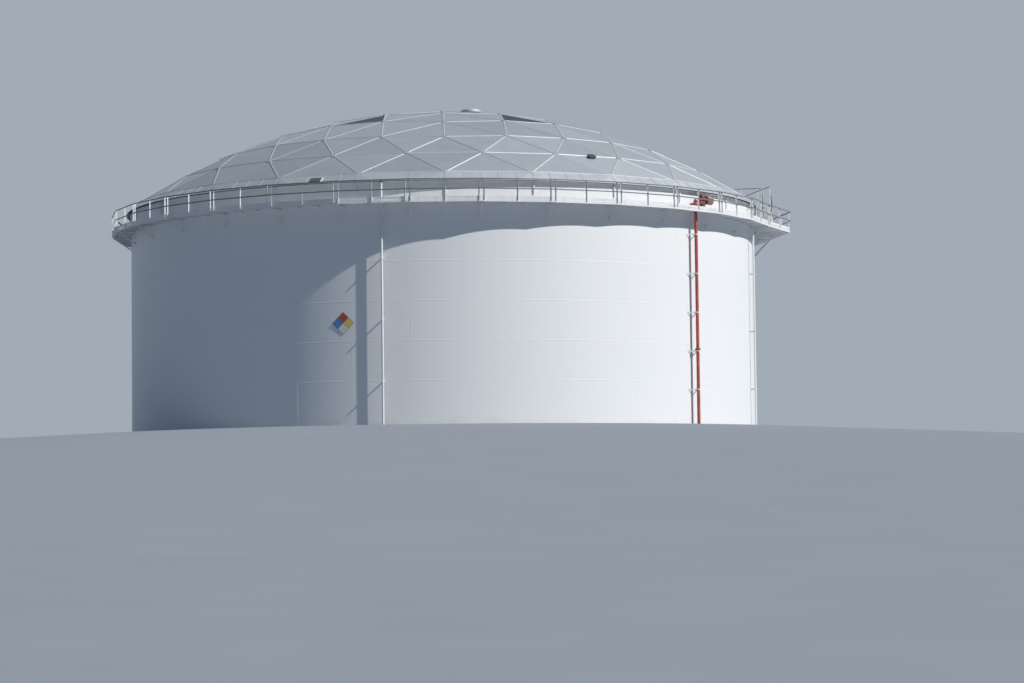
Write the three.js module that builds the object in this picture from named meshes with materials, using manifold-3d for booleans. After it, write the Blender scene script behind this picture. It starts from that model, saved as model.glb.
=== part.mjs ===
// Vertical storage tank: a welded steel shell with a wind girder walkway, an aluminium
// geodesic dome, a gauger's platform, a spiral stair, foam risers and service pipes.
// Millimetres, +Z up. The origin is the centre of the tank bottom, on the ground.
// Azimuths are in degrees from -Y (the front), growing towards +X (the right).

import * as THREE from 'three';
import { mergeVertices } from 'three/addons/utils/BufferGeometryUtils.js';
import Module from 'manifold-3d';

const wasm = await Module();
wasm.setup();

// Shell and bottom
const shellRadius = 16764;
const shellHeight = 12192;
const shellThickness = 30;
const shellSegments = 6;
const shellFacet = 5;
const shellSeamShift = 5;
const shellSink = 60;
const bottomThickness = 30;
const bottomProjection = 75;
const topAngleLeg = 76;
const topAngleThickness = 12;
const rimPosts = { perWall: 4, first: 15, step: 15, width: 65, depth: 75, foot: 11560 };

// Wind girder, used as a walkway
const sections = 31;
const sectionAngle = 360 / sections;
const sectionPhase = -0.17;
const walkwayWidth = 988;
const deckDrop = 1067;
const deckThickness = 16;
const fasciaDrop = 80;
const fasciaLip = 6;
const fasciaInside = 10;
const fasciaOutside = 6;
const joistDepth = 90;

// Knee braces under the walkway
const braceDrop = 640;
const braceSize = 64;
const braceShift = 60;
const bracePadWidth = 150;
const bracePadHeight = 220;
const bracePadThickness = 12;

// Gauger's platform, the wide part of the walkway
const platformFirstJoint = 6;
const platformSections = 4;
const platformRadius = 18715;
const rakerDrop = 1290;
const rakerInset = 622;
const rakerAzimuths = [92.9, 104.5, 116.1];

// Handrails
const railHeight = 1067;
const midRailHeight = 560;
const railSize = 60;
const postOutset = 33.5;
const postRise = 5;
const pairHalfGap = 120;
const railEndGap = 3;
const toeBoard = { low: 20, high: 200, thickness: 12, outset: 8 };

// Geodesic dome: ring by ring, the nodes of one sixth and their plan radii
const domeEdgeHeight = 12669;
const domeRise = 5006;
const domeEdgeRadius = 16513;
const domeThickness = 60;
const domeSectors = 6;
const ringNodes = [1, 6, 12, 18, 24, 24, 24];
const ringRadii = [0, 3250, 6450, 9700, 12440, 14520, domeEdgeRadius];
const ringSqueeze = [0, 0, 0.935, 0.935, 0.982, 1, 1];
const edgeBeamWidth = 150;
const edgeBeamDepth = 220;
const edgeBeamInset = 20;
const shoeWidth = 120;
const shoeThickness = 24;
const beamStart = 0.8;
const beamEnd = 0.1;
const shoeShift = 1.3;

// Flashing skirt between the dome and the top of the shell
const flashingOverhang = 250;
const flashingDrop = 30;
const flashingThickness = 24;
const flashingSectors = 4;
const flashingFacets = 24;
const flashingFootSteps = 4;
const skirtHatch = { sector: 3, azimuth: -22.3, width: 600, low: 0.12, high: 0.6, depth: 70 };

// Centre vent and hatch on the dome
const ventRadius = 550;
const ventPlace = { azimuth: 88, radius: 1560 };
const hatchPlace = { azimuth: 30.3, radius: 14660 };

// Spiral stair behind the gauger's platform
const stairWidth = 800;
const stairInnerRadius = 17920;
const treadCount = 55;
const treadRun = 232;
const treadDepth = 250;
const treadThickness = 40;
const stringerDepth = 300;
const stringerRise = 40;
const stringerThickness = 14;
const stairRailHeight = 950;
const landingTread = 28;
const landingAngle = 3.4;
const treadsPerBend = 4;
const stairPostDrop = 150;
const bracketSize = 70;
const bracketFall = 950;
const bracketSteps = { upper: [9, 18, 26], lower: [1, 10, 19] };

// Crossover stile from the platform over the rim to the dome
const stileNear = 76.4;
const stileFar = 78.6;
const stileLandingRise = 40;
const stileInnerRadius = 17270;
const stileOuterRadius = 17750;
const stileRises = 4;
const stileRun = 290;
const stileRailHeight = 950;
const stileToeRadius = 17020;
const stileGuardPost = 16177;
const stileGuardEnd = 15860;
const stileGuardFall = 450;
const stileGuardRise = 90;
const stilePost = 40;
const stilePlate = 40;

// Pipes, hazard plate
const drainPipe = { radius: 57, standOff: 265, azimuths: [-10.61, 72.9, 169.55], arms: [2410, 5440, 8470] };
const drainTopDrop = 20;
const armLength = 410;
const armWidth = 24;
const armDepth = 70;
const holeClearance = 14;
const flangeHeight = 4140;
const foamRiser = { radius: 84, standOff: 335, azimuths: [48, 228] };
const bracketHeights = [2100, 4050, 6000, 7970, 9960];
const bracketSpread = 336;
const bracketThickness = 14;
const bracketDepth = 60;
const hazardPlate = { azimuth: -17.57, height: 5290, half: 548, thickness: 10, standOff: 60 };

const gap = 0.3;
const deckTop = shellHeight - deckDrop;
const deckRadius = shellRadius + walkwayWidth;
const floorOfShell = bottomThickness;

const white = { color: 0xe9ebec, roughness: 0.45, metalness: 0.0 };
const aluminium = { color: 0xb9bdc0, roughness: 0.42, metalness: 0.9 };
const red = { color: 0xa63a33, roughness: 0.5, metalness: 0.0 };
const galvanized = { color: 0xa9acad, roughness: 0.5, metalness: 0.7 };
const placard = { color: 0xdedede, roughness: 0.5, metalness: 0.0 };

const rad = THREE.MathUtils.degToRad;
const tank = new THREE.Group();

function polar(azimuth, radius, z) {
  const a = rad(azimuth);
  return new THREE.Vector3(radius * Math.sin(a), -radius * Math.cos(a), z);
}

function outward(azimuth) {
  return polar(azimuth, 1, 0);
}

function along(azimuth) {
  return new THREE.Vector3(Math.cos(rad(azimuth)), Math.sin(rad(azimuth)), 0);
}

function jointAzimuth(k) {
  return (k + 0.5) * sectionAngle + sectionPhase;
}

function solid(geometry) {
  const plain = geometry.index ? geometry : mergeVertices(geometry);
  const bare = new THREE.BufferGeometry();
  bare.setAttribute('position', plain.getAttribute('position'));
  bare.setIndex(plain.index);
  const merged = mergeVertices(bare, 1e-3);
  return new wasm.Manifold(new wasm.Mesh({
    numProp: 3,
    vertProperties: new Float32Array(merged.getAttribute('position').array),
    triVerts: new Uint32Array(merged.index.array),
  }));
}

function joined(parts) {
  return parts.reduce((sum, part) => sum.add(part));
}

function addPiece(name, shape, look) {
  const mesh = shape.getMesh();
  const geometry = new THREE.BufferGeometry();
  geometry.setAttribute('position', new THREE.BufferAttribute(new Float32Array(mesh.vertProperties), 3));
  geometry.setIndex(new THREE.BufferAttribute(new Uint32Array(mesh.triVerts), 1));
  geometry.computeVertexNormals();
  const piece = new THREE.Mesh(geometry, new THREE.MeshStandardMaterial(look));
  piece.name = name;
  tank.add(piece);
}

// A flat plan outline, raised from z0 to z1
function prism(points, z0, z1) {
  const shape = new THREE.Shape(points.map((p) => new THREE.Vector2(p.x, p.y)));
  const geometry = new THREE.ExtrudeGeometry(shape, { depth: z1 - z0, bevelEnabled: false });
  geometry.translate(0, 0, z0);
  return solid(geometry);
}

// A straight bar of rectangular section from a to b; width runs across, height follows up
function bar(a, b, width, height, up = new THREE.Vector3(0, 0, 1)) {
  const axis = b.clone().sub(a);
  const geometry = new THREE.BoxGeometry(axis.length(), width, height);
  const x = axis.normalize();
  const y = up.clone().cross(x).normalize();
  const z = x.clone().cross(y);
  const place = new THREE.Matrix4().makeBasis(x, y, z);
  place.setPosition(a.clone().add(b).multiplyScalar(0.5));
  geometry.applyMatrix4(place);
  return solid(geometry);
}

// A level bar along a radius
function radialBar(azimuth, from, to, z, width, height) {
  return bar(polar(azimuth, from, z), polar(azimuth, to, z), width, height);
}

// A plate that stands on edge along a radius: its side view holds radii and heights
function sideCut(azimuth, profile, width) {
  const shape = new THREE.Shape(profile.map(([radius, z]) => new THREE.Vector2(radius, z)));
  const geometry = new THREE.ExtrudeGeometry(shape, { depth: width, bevelEnabled: false });
  geometry.translate(0, 0, -width / 2);
  const up = new THREE.Vector3(0, 0, 1);
  geometry.applyMatrix4(new THREE.Matrix4().makeBasis(outward(azimuth), up, outward(azimuth).cross(up)));
  return solid(geometry);
}

function rod(a, b, radius, sides = 12) {
  const axis = b.clone().sub(a);
  const geometry = new THREE.CylinderGeometry(radius, radius, axis.length(), sides);
  const direction = axis.clone().normalize();
  const turn = new THREE.Quaternion().setFromUnitVectors(new THREE.Vector3(0, 1, 0), direction);
  geometry.applyQuaternion(turn);
  const middle = a.clone().add(b).multiplyScalar(0.5);
  geometry.translate(middle.x, middle.y, middle.z);
  return solid(geometry);
}

// Plan outline of an arc between two radii, from one azimuth to another
function arcOutline(inner, outer, from, to, steps) {
  const points = [];
  for (let i = 0; i <= steps; i += 1) {
    points.push(polar(from + ((to - from) * i) / steps, outer, 0));
  }
  for (let i = steps; i >= 0; i -= 1) {
    points.push(polar(from + ((to - from) * i) / steps, inner, 0));
  }
  return points;
}

function endTrim(radius) {
  return THREE.MathUtils.radToDeg(gap / 2 / radius);
}

function ringOutline(radius) {
  const outline = [];
  for (let azimuth = 0; azimuth < 360; azimuth += shellFacet) {
    outline.push(polar(azimuth, radius, 0));
  }
  return outline;
}

// The room that the shell takes up: what is welded to it starts inside and is cut back to this
const rootRadius = shellRadius - shellSink;
const shellRoom = prism(ringOutline(shellRadius + gap), 0, shellHeight);

function buildBottom() {
  addPiece('bottom_plate', prism(ringOutline(shellRadius + bottomProjection), 0, bottomThickness), white);
}

// An upright on the outside of the shell, under the top angle
function rimPost(azimuth) {
  const from = shellRadius - shellThickness / 2;
  const to = shellRadius + rimPosts.depth;
  const middle = (from + to) / 2;
  const head = shellHeight - topAngleThickness / 2;
  return bar(polar(azimuth, middle, rimPosts.foot), polar(azimuth, middle, head), rimPosts.width, to - from, outward(azimuth));
}

function buildShell() {
  const span = 360 / shellSegments;
  const trim = endTrim(shellRadius);
  for (let i = 0; i < shellSegments; i += 1) {
    const from = shellSeamShift + i * span + trim;
    const to = shellSeamShift + (i + 1) * span - trim;
    const steps = span / shellFacet;
    const inner = shellRadius - shellThickness;
    const wall = prism(arcOutline(inner, shellRadius, from, to, steps), floorOfShell, shellHeight);
    const curb = arcOutline(shellRadius - shellThickness / 2, shellRadius + topAngleLeg, from, to, steps);
    const angle = prism(curb, shellHeight - topAngleThickness, shellHeight);
    const posts = [];
    for (let n = 0; n < rimPosts.perWall; n += 1) {
      posts.push(rimPost(i * span + rimPosts.first + n * rimPosts.step));
    }
    addPiece(`shell_wall_${i + 1}`, joined([wall, angle, ...posts]), white);
  }
}

function deckOutline(first, count, outerRadii) {
  const trim = endTrim(shellRadius);
  const from = jointAzimuth(first) + trim;
  const to = jointAzimuth(first + count) - trim;
  const azimuths = outerRadii.map((_, i) => THREE.MathUtils.clamp(jointAzimuth(first + i), from, to));
  const outer = azimuths.map((azimuth, i) => polar(azimuth, outerRadii[i], 0));
  const inner = [polar(to, rootRadius, 0), polar(from, rootRadius, 0)];
  return { outer, inner };
}

function offsetRadially(points, distance) {
  return points.map((p) => {
    const reach = Math.hypot(p.x, p.y);
    return new THREE.Vector3((p.x * (reach + distance)) / reach, (p.y * (reach + distance)) / reach, 0);
  });
}

function fascia(outer) {
  const outside = offsetRadially(outer, fasciaOutside);
  const inside = offsetRadially(outer, -fasciaInside).reverse();
  return prism([...outside, ...inside], deckTop - fasciaDrop, deckTop + fasciaLip);
}

// A knee brace from under the deck edge down to a pad on the shell
function kneeBrace(azimuth, deckEdge, drop) {
  const under = deckTop - deckThickness;
  const middle = (rootRadius + shellRadius + bracePadThickness) / 2;
  const pad = bar(
    polar(azimuth, middle, under - drop - bracePadHeight / 2),
    polar(azimuth, middle, under - drop + bracePadHeight / 2),
    bracePadWidth,
    shellSink + bracePadThickness,
    outward(azimuth),
  );
  const top = polar(azimuth, deckEdge - braceSize, under - braceSize / 4);
  const foot = polar(azimuth, shellRadius, under - drop);
  return bar(top, foot, braceSize, braceSize, outward(azimuth)).add(pad);
}

function holeFor(azimuth, standOff, radius) {
  const r = shellRadius + standOff;
  const low = polar(azimuth, r, deckTop - 200);
  return rod(low, low.clone().setZ(deckTop + 200), radius + holeClearance, 10);
}

function walkwayHoles() {
  const drains = drainPipe.azimuths.map((a) => holeFor(a, drainPipe.standOff, drainPipe.radius));
  const risers = foamRiser.azimuths.map((a) => holeFor(a, foamRiser.standOff, foamRiser.radius));
  return joined([...drains, ...risers]);
}

const walkwayArcs = [
  { name: 'front', first: -3, count: 5 },
  { name: 'right', first: 2, count: 4 },
  { name: 'rear_right', first: 10, count: 6 },
  { name: 'rear_left', first: 16, count: 6 },
  { name: 'left', first: 22, count: 6 },
];

function buildWalkway() {
  const holes = walkwayHoles();
  for (const arc of walkwayArcs) {
    const { outer, inner } = deckOutline(arc.first, arc.count, Array(arc.count + 1).fill(deckRadius));
    const parts = [prism([...outer, ...inner], deckTop - deckThickness, deckTop), fascia(outer)];
    const shift = THREE.MathUtils.radToDeg(braceShift / deckRadius);
    for (let i = 0; i < arc.count; i += 1) {
      parts.push(kneeBrace(jointAzimuth(arc.first + i) + shift, deckRadius, braceDrop));
    }
    addPiece(`walkway_${arc.name}`, joined(parts).subtract(shellRoom).subtract(holes), white);
  }
}

function platformOutline() {
  const straight = platformRadius * Math.cos(rad(sectionAngle));
  const radii = [deckRadius, platformRadius, straight, platformRadius, platformRadius];
  return { ...deckOutline(platformFirstJoint, platformSections, radii), radii };
}

function buildPlatform() {
  const { outer, inner, radii } = platformOutline();
  const parts = [prism([...outer, ...inner], deckTop - deckThickness, deckTop), fascia(outer)];
  const shift = THREE.MathUtils.radToDeg(braceShift / deckRadius);
  for (let i = 0; i < platformSections; i += 1) {
    const azimuth = jointAzimuth(platformFirstJoint + i) + shift;
    const edge = radii[i];
    const z = deckTop - deckThickness - joistDepth / 2 + 1;
    parts.push(radialBar(azimuth, rootRadius, edge - braceSize, z, braceSize, joistDepth));
    parts.push(kneeBrace(azimuth, deckRadius, braceDrop));
  }
  for (const azimuth of rakerAzimuths) {
    parts.push(kneeBrace(azimuth, platformRadius - rakerInset, rakerDrop));
  }
  addPiece('gauge_platform', joined(parts).subtract(shellRoom).subtract(walkwayHoles()), white);
}

// A rail of square section through corners given as azimuth, radius and height
function railThrough(corners, size) {
  const half = size / 2;
  return loft(corners.map(({ azimuth, radius, z }) => [
    polar(azimuth, radius + half, z + half),
    polar(azimuth, radius + half, z - half),
    polar(azimuth, radius - half, z - half),
    polar(azimuth, radius - half, z + half),
  ]));
}

// A board on edge behind the posts, just above the fascia
function toeBoardAlong(corners) {
  const low = deckTop + toeBoard.low;
  const high = deckTop + toeBoard.high;
  return loft(corners.map(({ azimuth, radius }) => {
    const outer = radius + toeBoard.outset;
    const inner = outer - toeBoard.thickness;
    return [
      polar(azimuth, outer, high),
      polar(azimuth, outer, low),
      polar(azimuth, inner, low),
      polar(azimuth, inner, high),
    ];
  }));
}

// Handrail round a deck's edge: two rails, a toe board, and posts against the outside of the fascia,
// in pairs at the corners and single in mid-stretch
function handrail(corners) {
  const postSize = railSize - 6;
  const trim = THREE.MathUtils.radToDeg(railEndGap / deckRadius);
  const ends = corners.map((corner, i) => {
    const inwards = i === 0 ? trim : i === corners.length - 1 ? -trim : 0;
    return { ...corner, azimuth: corner.azimuth + inwards };
  });
  const parts = [midRailHeight, railHeight - railSize / 2].map((height) => (
    railThrough(ends.map(({ azimuth, radius }) => (
      { azimuth, radius: radius + postOutset, z: deckTop + height }
    )), railSize)
  ));
  parts.push(toeBoardAlong(ends));
  for (let i = 0; i + 1 < corners.length; i += 1) {
    const [a, b] = [corners[i], corners[i + 1]].map((corner) => (
      polar(corner.azimuth, corner.radius + fasciaOutside, 0)
    ));
    const run = b.clone().sub(a).normalize();
    const stand = run.clone().cross(new THREE.Vector3(0, 0, gap + postSize / 2));
    const posts = [
      a.clone().addScaledVector(run, pairHalfGap),
      a.clone().add(b).multiplyScalar(0.5),
      b.clone().addScaledVector(run, -pairHalfGap),
    ];
    for (const post of posts) {
      const foot = post.clone().add(stand).setZ(deckTop + postRise);
      const head = foot.clone().setZ(deckTop + railHeight - railSize / 2);
      parts.push(bar(foot, head, postSize, postSize, run));
    }
  }
  return joined(parts);
}

function buildHandrails() {
  for (const arc of walkwayArcs) {
    const corners = [];
    for (let i = 0; i <= arc.count; i += 1) {
      corners.push({ azimuth: jointAzimuth(arc.first + i), radius: deckRadius });
    }
    addPiece(`handrail_${arc.name}`, handrail(corners), white);
  }
  const { radii } = platformOutline();
  const corners = radii.map((radius, i) => (
    { azimuth: jointAzimuth(platformFirstJoint + i), radius }
  ));
  addPiece('handrail_platform', handrail(corners), white);
}

// The dome's nodes lie on a sphere; each ring is squeezed a little between its six main ribs
const sphereRadius = (domeEdgeRadius ** 2 + domeRise ** 2) / (2 * domeRise);
const sphereCentre = new THREE.Vector3(0, 0, domeEdgeHeight + domeRise - sphereRadius);

function ringAzimuth(ring, index) {
  const offset = ring === 5 ? 0.5 : 0;
  return ((index + offset) * 360) / ringNodes[ring];
}

function domeNode(ring, index) {
  const azimuth = ringAzimuth(ring, index);
  const fromRib = Math.abs(((azimuth % 60) + 60) % 60 - 30) / 30;
  const squeeze = fromRib > 0.999 ? 1 : ringSqueeze[ring];
  const radius = ringRadii[ring] * squeeze;
  const z = sphereCentre.z + Math.sqrt(sphereRadius ** 2 - radius ** 2);
  return polar(azimuth, radius, z);
}

// Triangles of one sixth of the dome as [ring, index] corners, outside faces up
function sectorTriangles(sector) {
  const triangles = [];
  for (let ring = 1; ring <= 4; ring += 1) {
    const outer = sector * ring;
    const inner = sector * (ring - 1);
    for (let i = 0; i < ring; i += 1) {
      triangles.push([[ring - 1, inner + i], [ring, outer + i], [ring, outer + i + 1]]);
      if (i + 1 < ring) {
        triangles.push([[ring - 1, inner + i], [ring, outer + i + 1], [ring - 1, inner + i + 1]]);
      }
    }
  }
  for (let i = 0; i < 4; i += 1) {
    const k = sector * 4 + i;
    triangles.push([[4, k], [5, k], [4, k + 1]]);
    triangles.push([[4, k + 1], [5, k], [5, k + 1]]);
    triangles.push([[5, k], [6, k + 1], [5, k + 1]]);
    triangles.push([[5, k], [6, k], [6, k + 1]]);
  }
  return triangles;
}

// A plate of even thickness over the triangles, thickened towards the sphere's centre
function thickSheet(triangles, thickness) {
  const keys = new Map();
  const top = [];
  const corner = (ring, index) => {
    const wrapped = ring === 0 ? 0 : index % ringNodes[ring];
    const key = `${ring}:${wrapped}`;
    if (!keys.has(key)) {
      keys.set(key, top.length);
      top.push(domeNode(ring, wrapped));
    }
    return keys.get(key);
  };
  const faces = triangles.map((t) => t.map(([ring, index]) => corner(ring, index)));
  const under = top.map((p) => {
    const down = p.clone().sub(sphereCentre).normalize();
    return p.clone().addScaledVector(down, -thickness);
  });
  const count = top.length;
  const index = [];
  const edges = new Map();
  for (const [a, b, c] of faces) {
    index.push(a, b, c, count + a, count + c, count + b);
    for (const [from, to] of [[a, b], [b, c], [c, a]]) {
      edges.set(`${from}:${to}`, [from, to]);
    }
  }
  for (const [from, to] of edges.values()) {
    if (!edges.has(`${to}:${from}`)) {
      index.push(from, count + from, to, to, count + from, count + to);
    }
  }
  const geometry = new THREE.BufferGeometry();
  const values = [...top, ...under].flatMap((p) => [p.x, p.y, p.z]);
  geometry.setAttribute('position', new THREE.BufferAttribute(new Float32Array(values), 3));
  geometry.setIndex(index);
  return solid(geometry);
}

// The tension ring under the dome's edge, with a shoe near each node standing on the shell
function edgeBeam(sector) {
  const beamTop = domeEdgeHeight - domeThickness * 0.4;
  const outer = domeEdgeRadius - edgeBeamInset;
  const inner = outer - edgeBeamWidth;
  const from = sector * 60;
  const chord = 360 / ringNodes[6];
  const ends = [beamStart, chord, 2 * chord, 3 * chord, 4 * chord - beamEnd];
  const parts = [loft(ends.map((turn) => {
    const azimuth = from + turn;
    const onChord = Math.cos(rad(chord / 2)) / Math.cos(rad((turn % chord) - chord / 2));
    return [
      polar(azimuth, outer * onChord, beamTop),
      polar(azimuth, outer * onChord, beamTop - edgeBeamDepth),
      polar(azimuth, inner * onChord, beamTop - edgeBeamDepth),
      polar(azimuth, inner * onChord, beamTop),
    ];
  }))];
  const base = shellHeight + gap;
  const shoe = [
    [inner + edgeBeamInset, base],
    [shellRadius + topAngleLeg / 2, base],
    [shellRadius + topAngleLeg / 2, base + shoeThickness],
    [outer - edgeBeamInset, base + shoeThickness],
    [outer - edgeBeamInset, beamTop - edgeBeamDepth / 2],
    [inner + edgeBeamInset, beamTop - edgeBeamDepth / 2],
  ];
  for (let i = 0; i < 4; i += 1) {
    parts.push(sideCut(from + i * 15 + shoeShift, shoe, shoeWidth));
  }
  return joined(parts);
}

// The room that one sixth of the dome takes up, and some below it, for what stands on it
function domeRoom(sector) {
  const sheet = thickSheet(sectorTriangles(sector), domeThickness);
  return joined([2 * gap, -50, -100, -150].map((z) => sheet.translate([0, 0, z])));
}

function buildDome() {
  for (let sector = 0; sector < domeSectors; sector += 1) {
    const sheet = thickSheet(sectorTriangles(sector), domeThickness);
    const drift = outward(sector * 60 + 30).multiplyScalar(gap);
    const piece = sheet.add(edgeBeam(sector)).translate([drift.x, drift.y, drift.z]);
    addPiece(`dome_sector_${sector + 1}`, piece, aluminium);
  }
}

const skirtTop = { radius: domeEdgeRadius + 2 * gap + flashingThickness, z: domeEdgeHeight + 6 };
const skirtFoot = { radius: shellRadius + flashingOverhang, z: shellHeight + flashingDrop };

// The radius of a straight side of the skirt's top, whose corners lie at the given radius
function sideRadius(azimuth, cornerRadius) {
  const facet = 360 / flashingFacets;
  const fromMiddle = THREE.MathUtils.euclideanModulo(azimuth, facet) - facet / 2;
  return (cornerRadius * Math.cos(rad(facet / 2))) / Math.cos(rad(fromMiddle));
}

// A flat box on the skirt's slope, its ends given as shares of the way up
function hatchOnSkirt() {
  const topRadius = sideRadius(skirtHatch.azimuth, skirtTop.radius);
  const [low, high] = [skirtHatch.low, skirtHatch.high].map((share) => polar(
    skirtHatch.azimuth,
    THREE.MathUtils.lerp(skirtFoot.radius, topRadius, share),
    THREE.MathUtils.lerp(skirtFoot.z, skirtTop.z, share),
  ));
  return bar(low, high, skirtHatch.width, skirtHatch.depth, outward(skirtHatch.azimuth));
}

// The skirt's top edge follows the dome's 24 straight edges, its foot is round
function buildFlashing() {
  const steps = (flashingFacets / flashingSectors) * flashingFootSteps;
  const span = 360 / flashingSectors;
  const trim = endTrim(domeEdgeRadius);
  for (let sector = 0; sector < flashingSectors; sector += 1) {
    const rows = [];
    for (let i = 0; i <= steps; i += 1) {
      const azimuth = sector * span + THREE.MathUtils.clamp((i * span) / steps, trim, span - trim);
      rows.push([
        polar(azimuth, sideRadius(azimuth, skirtTop.radius), skirtTop.z),
        polar(azimuth, skirtFoot.radius, skirtFoot.z),
        polar(azimuth, skirtFoot.radius - flashingThickness, skirtFoot.z),
        polar(azimuth, sideRadius(azimuth, skirtTop.radius - flashingThickness), domeEdgeHeight - gap),
      ]);
    }
    const skirt = loft(rows);
    addPiece(`dome_flashing_${sector + 1}`, sector === skirtHatch.sector ? skirt.add(hatchOnSkirt()) : skirt, aluminium);
  }
}

// A closed solid through rows of section corners
function loft(rows) {
  const size = rows[0].length;
  const index = [];
  for (let i = 0; i + 1 < rows.length; i += 1) {
    for (let j = 0; j < size; j += 1) {
      const a = i * size + j;
      const b = i * size + ((j + 1) % size);
      index.push(a, b, a + size, b, b + size, a + size);
    }
  }
  const last = (rows.length - 1) * size;
  for (let j = 1; j + 1 < size; j += 1) {
    index.push(0, j + 1, j, last, last + j, last + j + 1);
  }
  const values = rows.flat().flatMap((p) => [p.x, p.y, p.z]);
  const geometry = new THREE.BufferGeometry();
  geometry.setAttribute('position', new THREE.BufferAttribute(new Float32Array(values), 3));
  geometry.setIndex(index);
  const shape = solid(geometry);
  if (shape.volume() < 0) {
    throw new Error('a lofted piece is inside out');
  }
  return shape;
}

// The spiral stair goes down behind the platform's far end, in two flights with a landing
const stairTop = jointAzimuth(platformFirstJoint + platformSections);
const stairOuterRadius = stairInnerRadius + stairWidth;
const stairMiddle = stairInnerRadius + stairWidth / 2;
const treadAngle = THREE.MathUtils.radToDeg(treadRun / stairMiddle);
const treadRise = deckTop / (treadCount + 1);
const landingStart = stairTop + (landingTread - 1) * treadAngle;
const landingEnd = landingStart + landingAngle;

// Height of the line through the treads' front edges at a distance of steps down the stair
function pitchHeight(azimuth) {
  if (azimuth <= landingStart) {
    return deckTop - ((azimuth - stairTop) / treadAngle) * treadRise;
  }
  const landingHeight = deckTop - (landingTread - 1) * treadRise;
  const below = Math.max(0, (azimuth - landingEnd) / treadAngle);
  return landingHeight - below * treadRise;
}

const stairFoot = landingEnd + (treadCount + 2 - landingTread) * treadAngle;

// Azimuths down the stair at which its long bars bend, with one at each end of the landing
function stairBends(from, to) {
  const start = to > landingEnd ? landingEnd : from;
  const bends = start > from ? [from] : [];
  const count = Math.max(1, Math.round((to - start) / (treadsPerBend * treadAngle)));
  for (let i = 0; i <= count; i += 1) {
    bends.push(start + ((to - start) * i) / count);
  }
  return bends;
}

// A bar that follows the stair, its top at a height over the line of the treads' edges
function helicalBar(azimuths, radius, above, thickness, depth) {
  return loft(azimuths.map((azimuth) => {
    const top = pitchHeight(azimuth) + above;
    const bottom = Math.max(top - depth, 0);
    return [
      polar(azimuth, radius + thickness / 2, top),
      polar(azimuth, radius + thickness / 2, bottom),
      polar(azimuth, radius - thickness / 2, bottom),
      polar(azimuth, radius - thickness / 2, top),
    ];
  }));
}

// A bracket that carries the stair off the shell
function stairBracket(azimuth) {
  const height = pitchHeight(azimuth) + stringerRise - stringerDepth;
  const under = height - bracketSize / 4;
  return joined([
    radialBar(azimuth, rootRadius, stairOuterRadius, height, bracketSize, bracketSize),
    bar(
      polar(azimuth, stairInnerRadius - bracketSize, under),
      polar(azimuth, rootRadius, under - bracketFall),
      bracketSize,
      bracketSize,
      outward(azimuth),
    ),
  ]);
}

function flight(from, to, brackets) {
  const trim = endTrim(stairMiddle);
  const inner = stairInnerRadius + stringerThickness / 2;
  const outer = stairOuterRadius - stringerThickness / 2;
  const bends = stairBends(from + trim, to - trim);
  const parts = [inner, outer].map((radius) => (
    helicalBar(bends, radius, stringerRise, stringerThickness, stringerDepth)
  ));
  for (const azimuth of brackets) {
    parts.push(stairBracket(azimuth));
  }
  const step = (start, end, top) => {
    parts.push(prism(arcOutline(inner, outer, start, end, 1), top - treadThickness, top));
  };
  return { parts, step, trim, bends };
}

function buildStair() {
  const treadReach = treadAngle * (treadDepth / treadRun);
  const upper = flight(stairTop, landingStart, bracketSteps.upper.map((n) => stairTop + n * treadAngle));
  for (let tread = 1; tread < landingTread; tread += 1) {
    const edge = stairTop + tread * treadAngle - upper.trim;
    const back = Math.max(edge - treadReach, stairTop + upper.trim);
    upper.step(back, edge, deckTop - tread * treadRise);
  }
  addPiece('stair_upper_flight', joined(upper.parts).subtract(shellRoom), white);

  const lower = flight(landingStart, stairFoot, bracketSteps.lower.map((n) => landingEnd + n * treadAngle));
  lower.step(landingStart + lower.trim, landingEnd, pitchHeight(landingEnd));
  for (let tread = landingTread; tread <= treadCount; tread += 1) {
    const edge = landingEnd + (tread + 1 - landingTread) * treadAngle;
    lower.step(edge - treadReach, edge, deckTop - tread * treadRise);
  }
  addPiece('stair_lower_flight', joined(lower.parts).subtract(shellRoom), white);

  const sides = [
    { name: 'inner', radius: stairInnerRadius - gap - railSize / 2, postShift: 1.2 },
    { name: 'outer', radius: stairOuterRadius + gap + railSize / 2, postShift: -2.6 },
  ];
  const spans = [
    { name: 'upper', bends: upper.bends },
    { name: 'lower', bends: lower.bends },
  ];
  for (const side of sides) {
    for (const span of spans) {
      addPiece(`stair_rail_${span.name}_${side.name}`, stairRail(span.bends, side), white);
    }
  }
}

function stairRail(bends, { radius, postShift }) {
  const postSize = railSize - 6;
  const parts = [stairRailHeight, stairRailHeight / 2].map((height) => (
    helicalBar(bends, radius, height, railSize, railSize)
  ));
  const half = THREE.MathUtils.radToDeg(railSize / 2 / radius);
  for (const bend of bends) {
    const azimuth = THREE.MathUtils.clamp(bend, bends[0] + half, bends[bends.length - 1] - half);
    const z = pitchHeight(azimuth);
    parts.push(bar(
      polar(azimuth, radius + postShift, Math.max(z - stairPostDrop, gap)),
      polar(azimuth, radius + postShift, z + stairRailHeight - railSize / 2),
      postSize,
      postSize,
      outward(azimuth),
    ));
  }
  return joined(parts);
}

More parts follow.
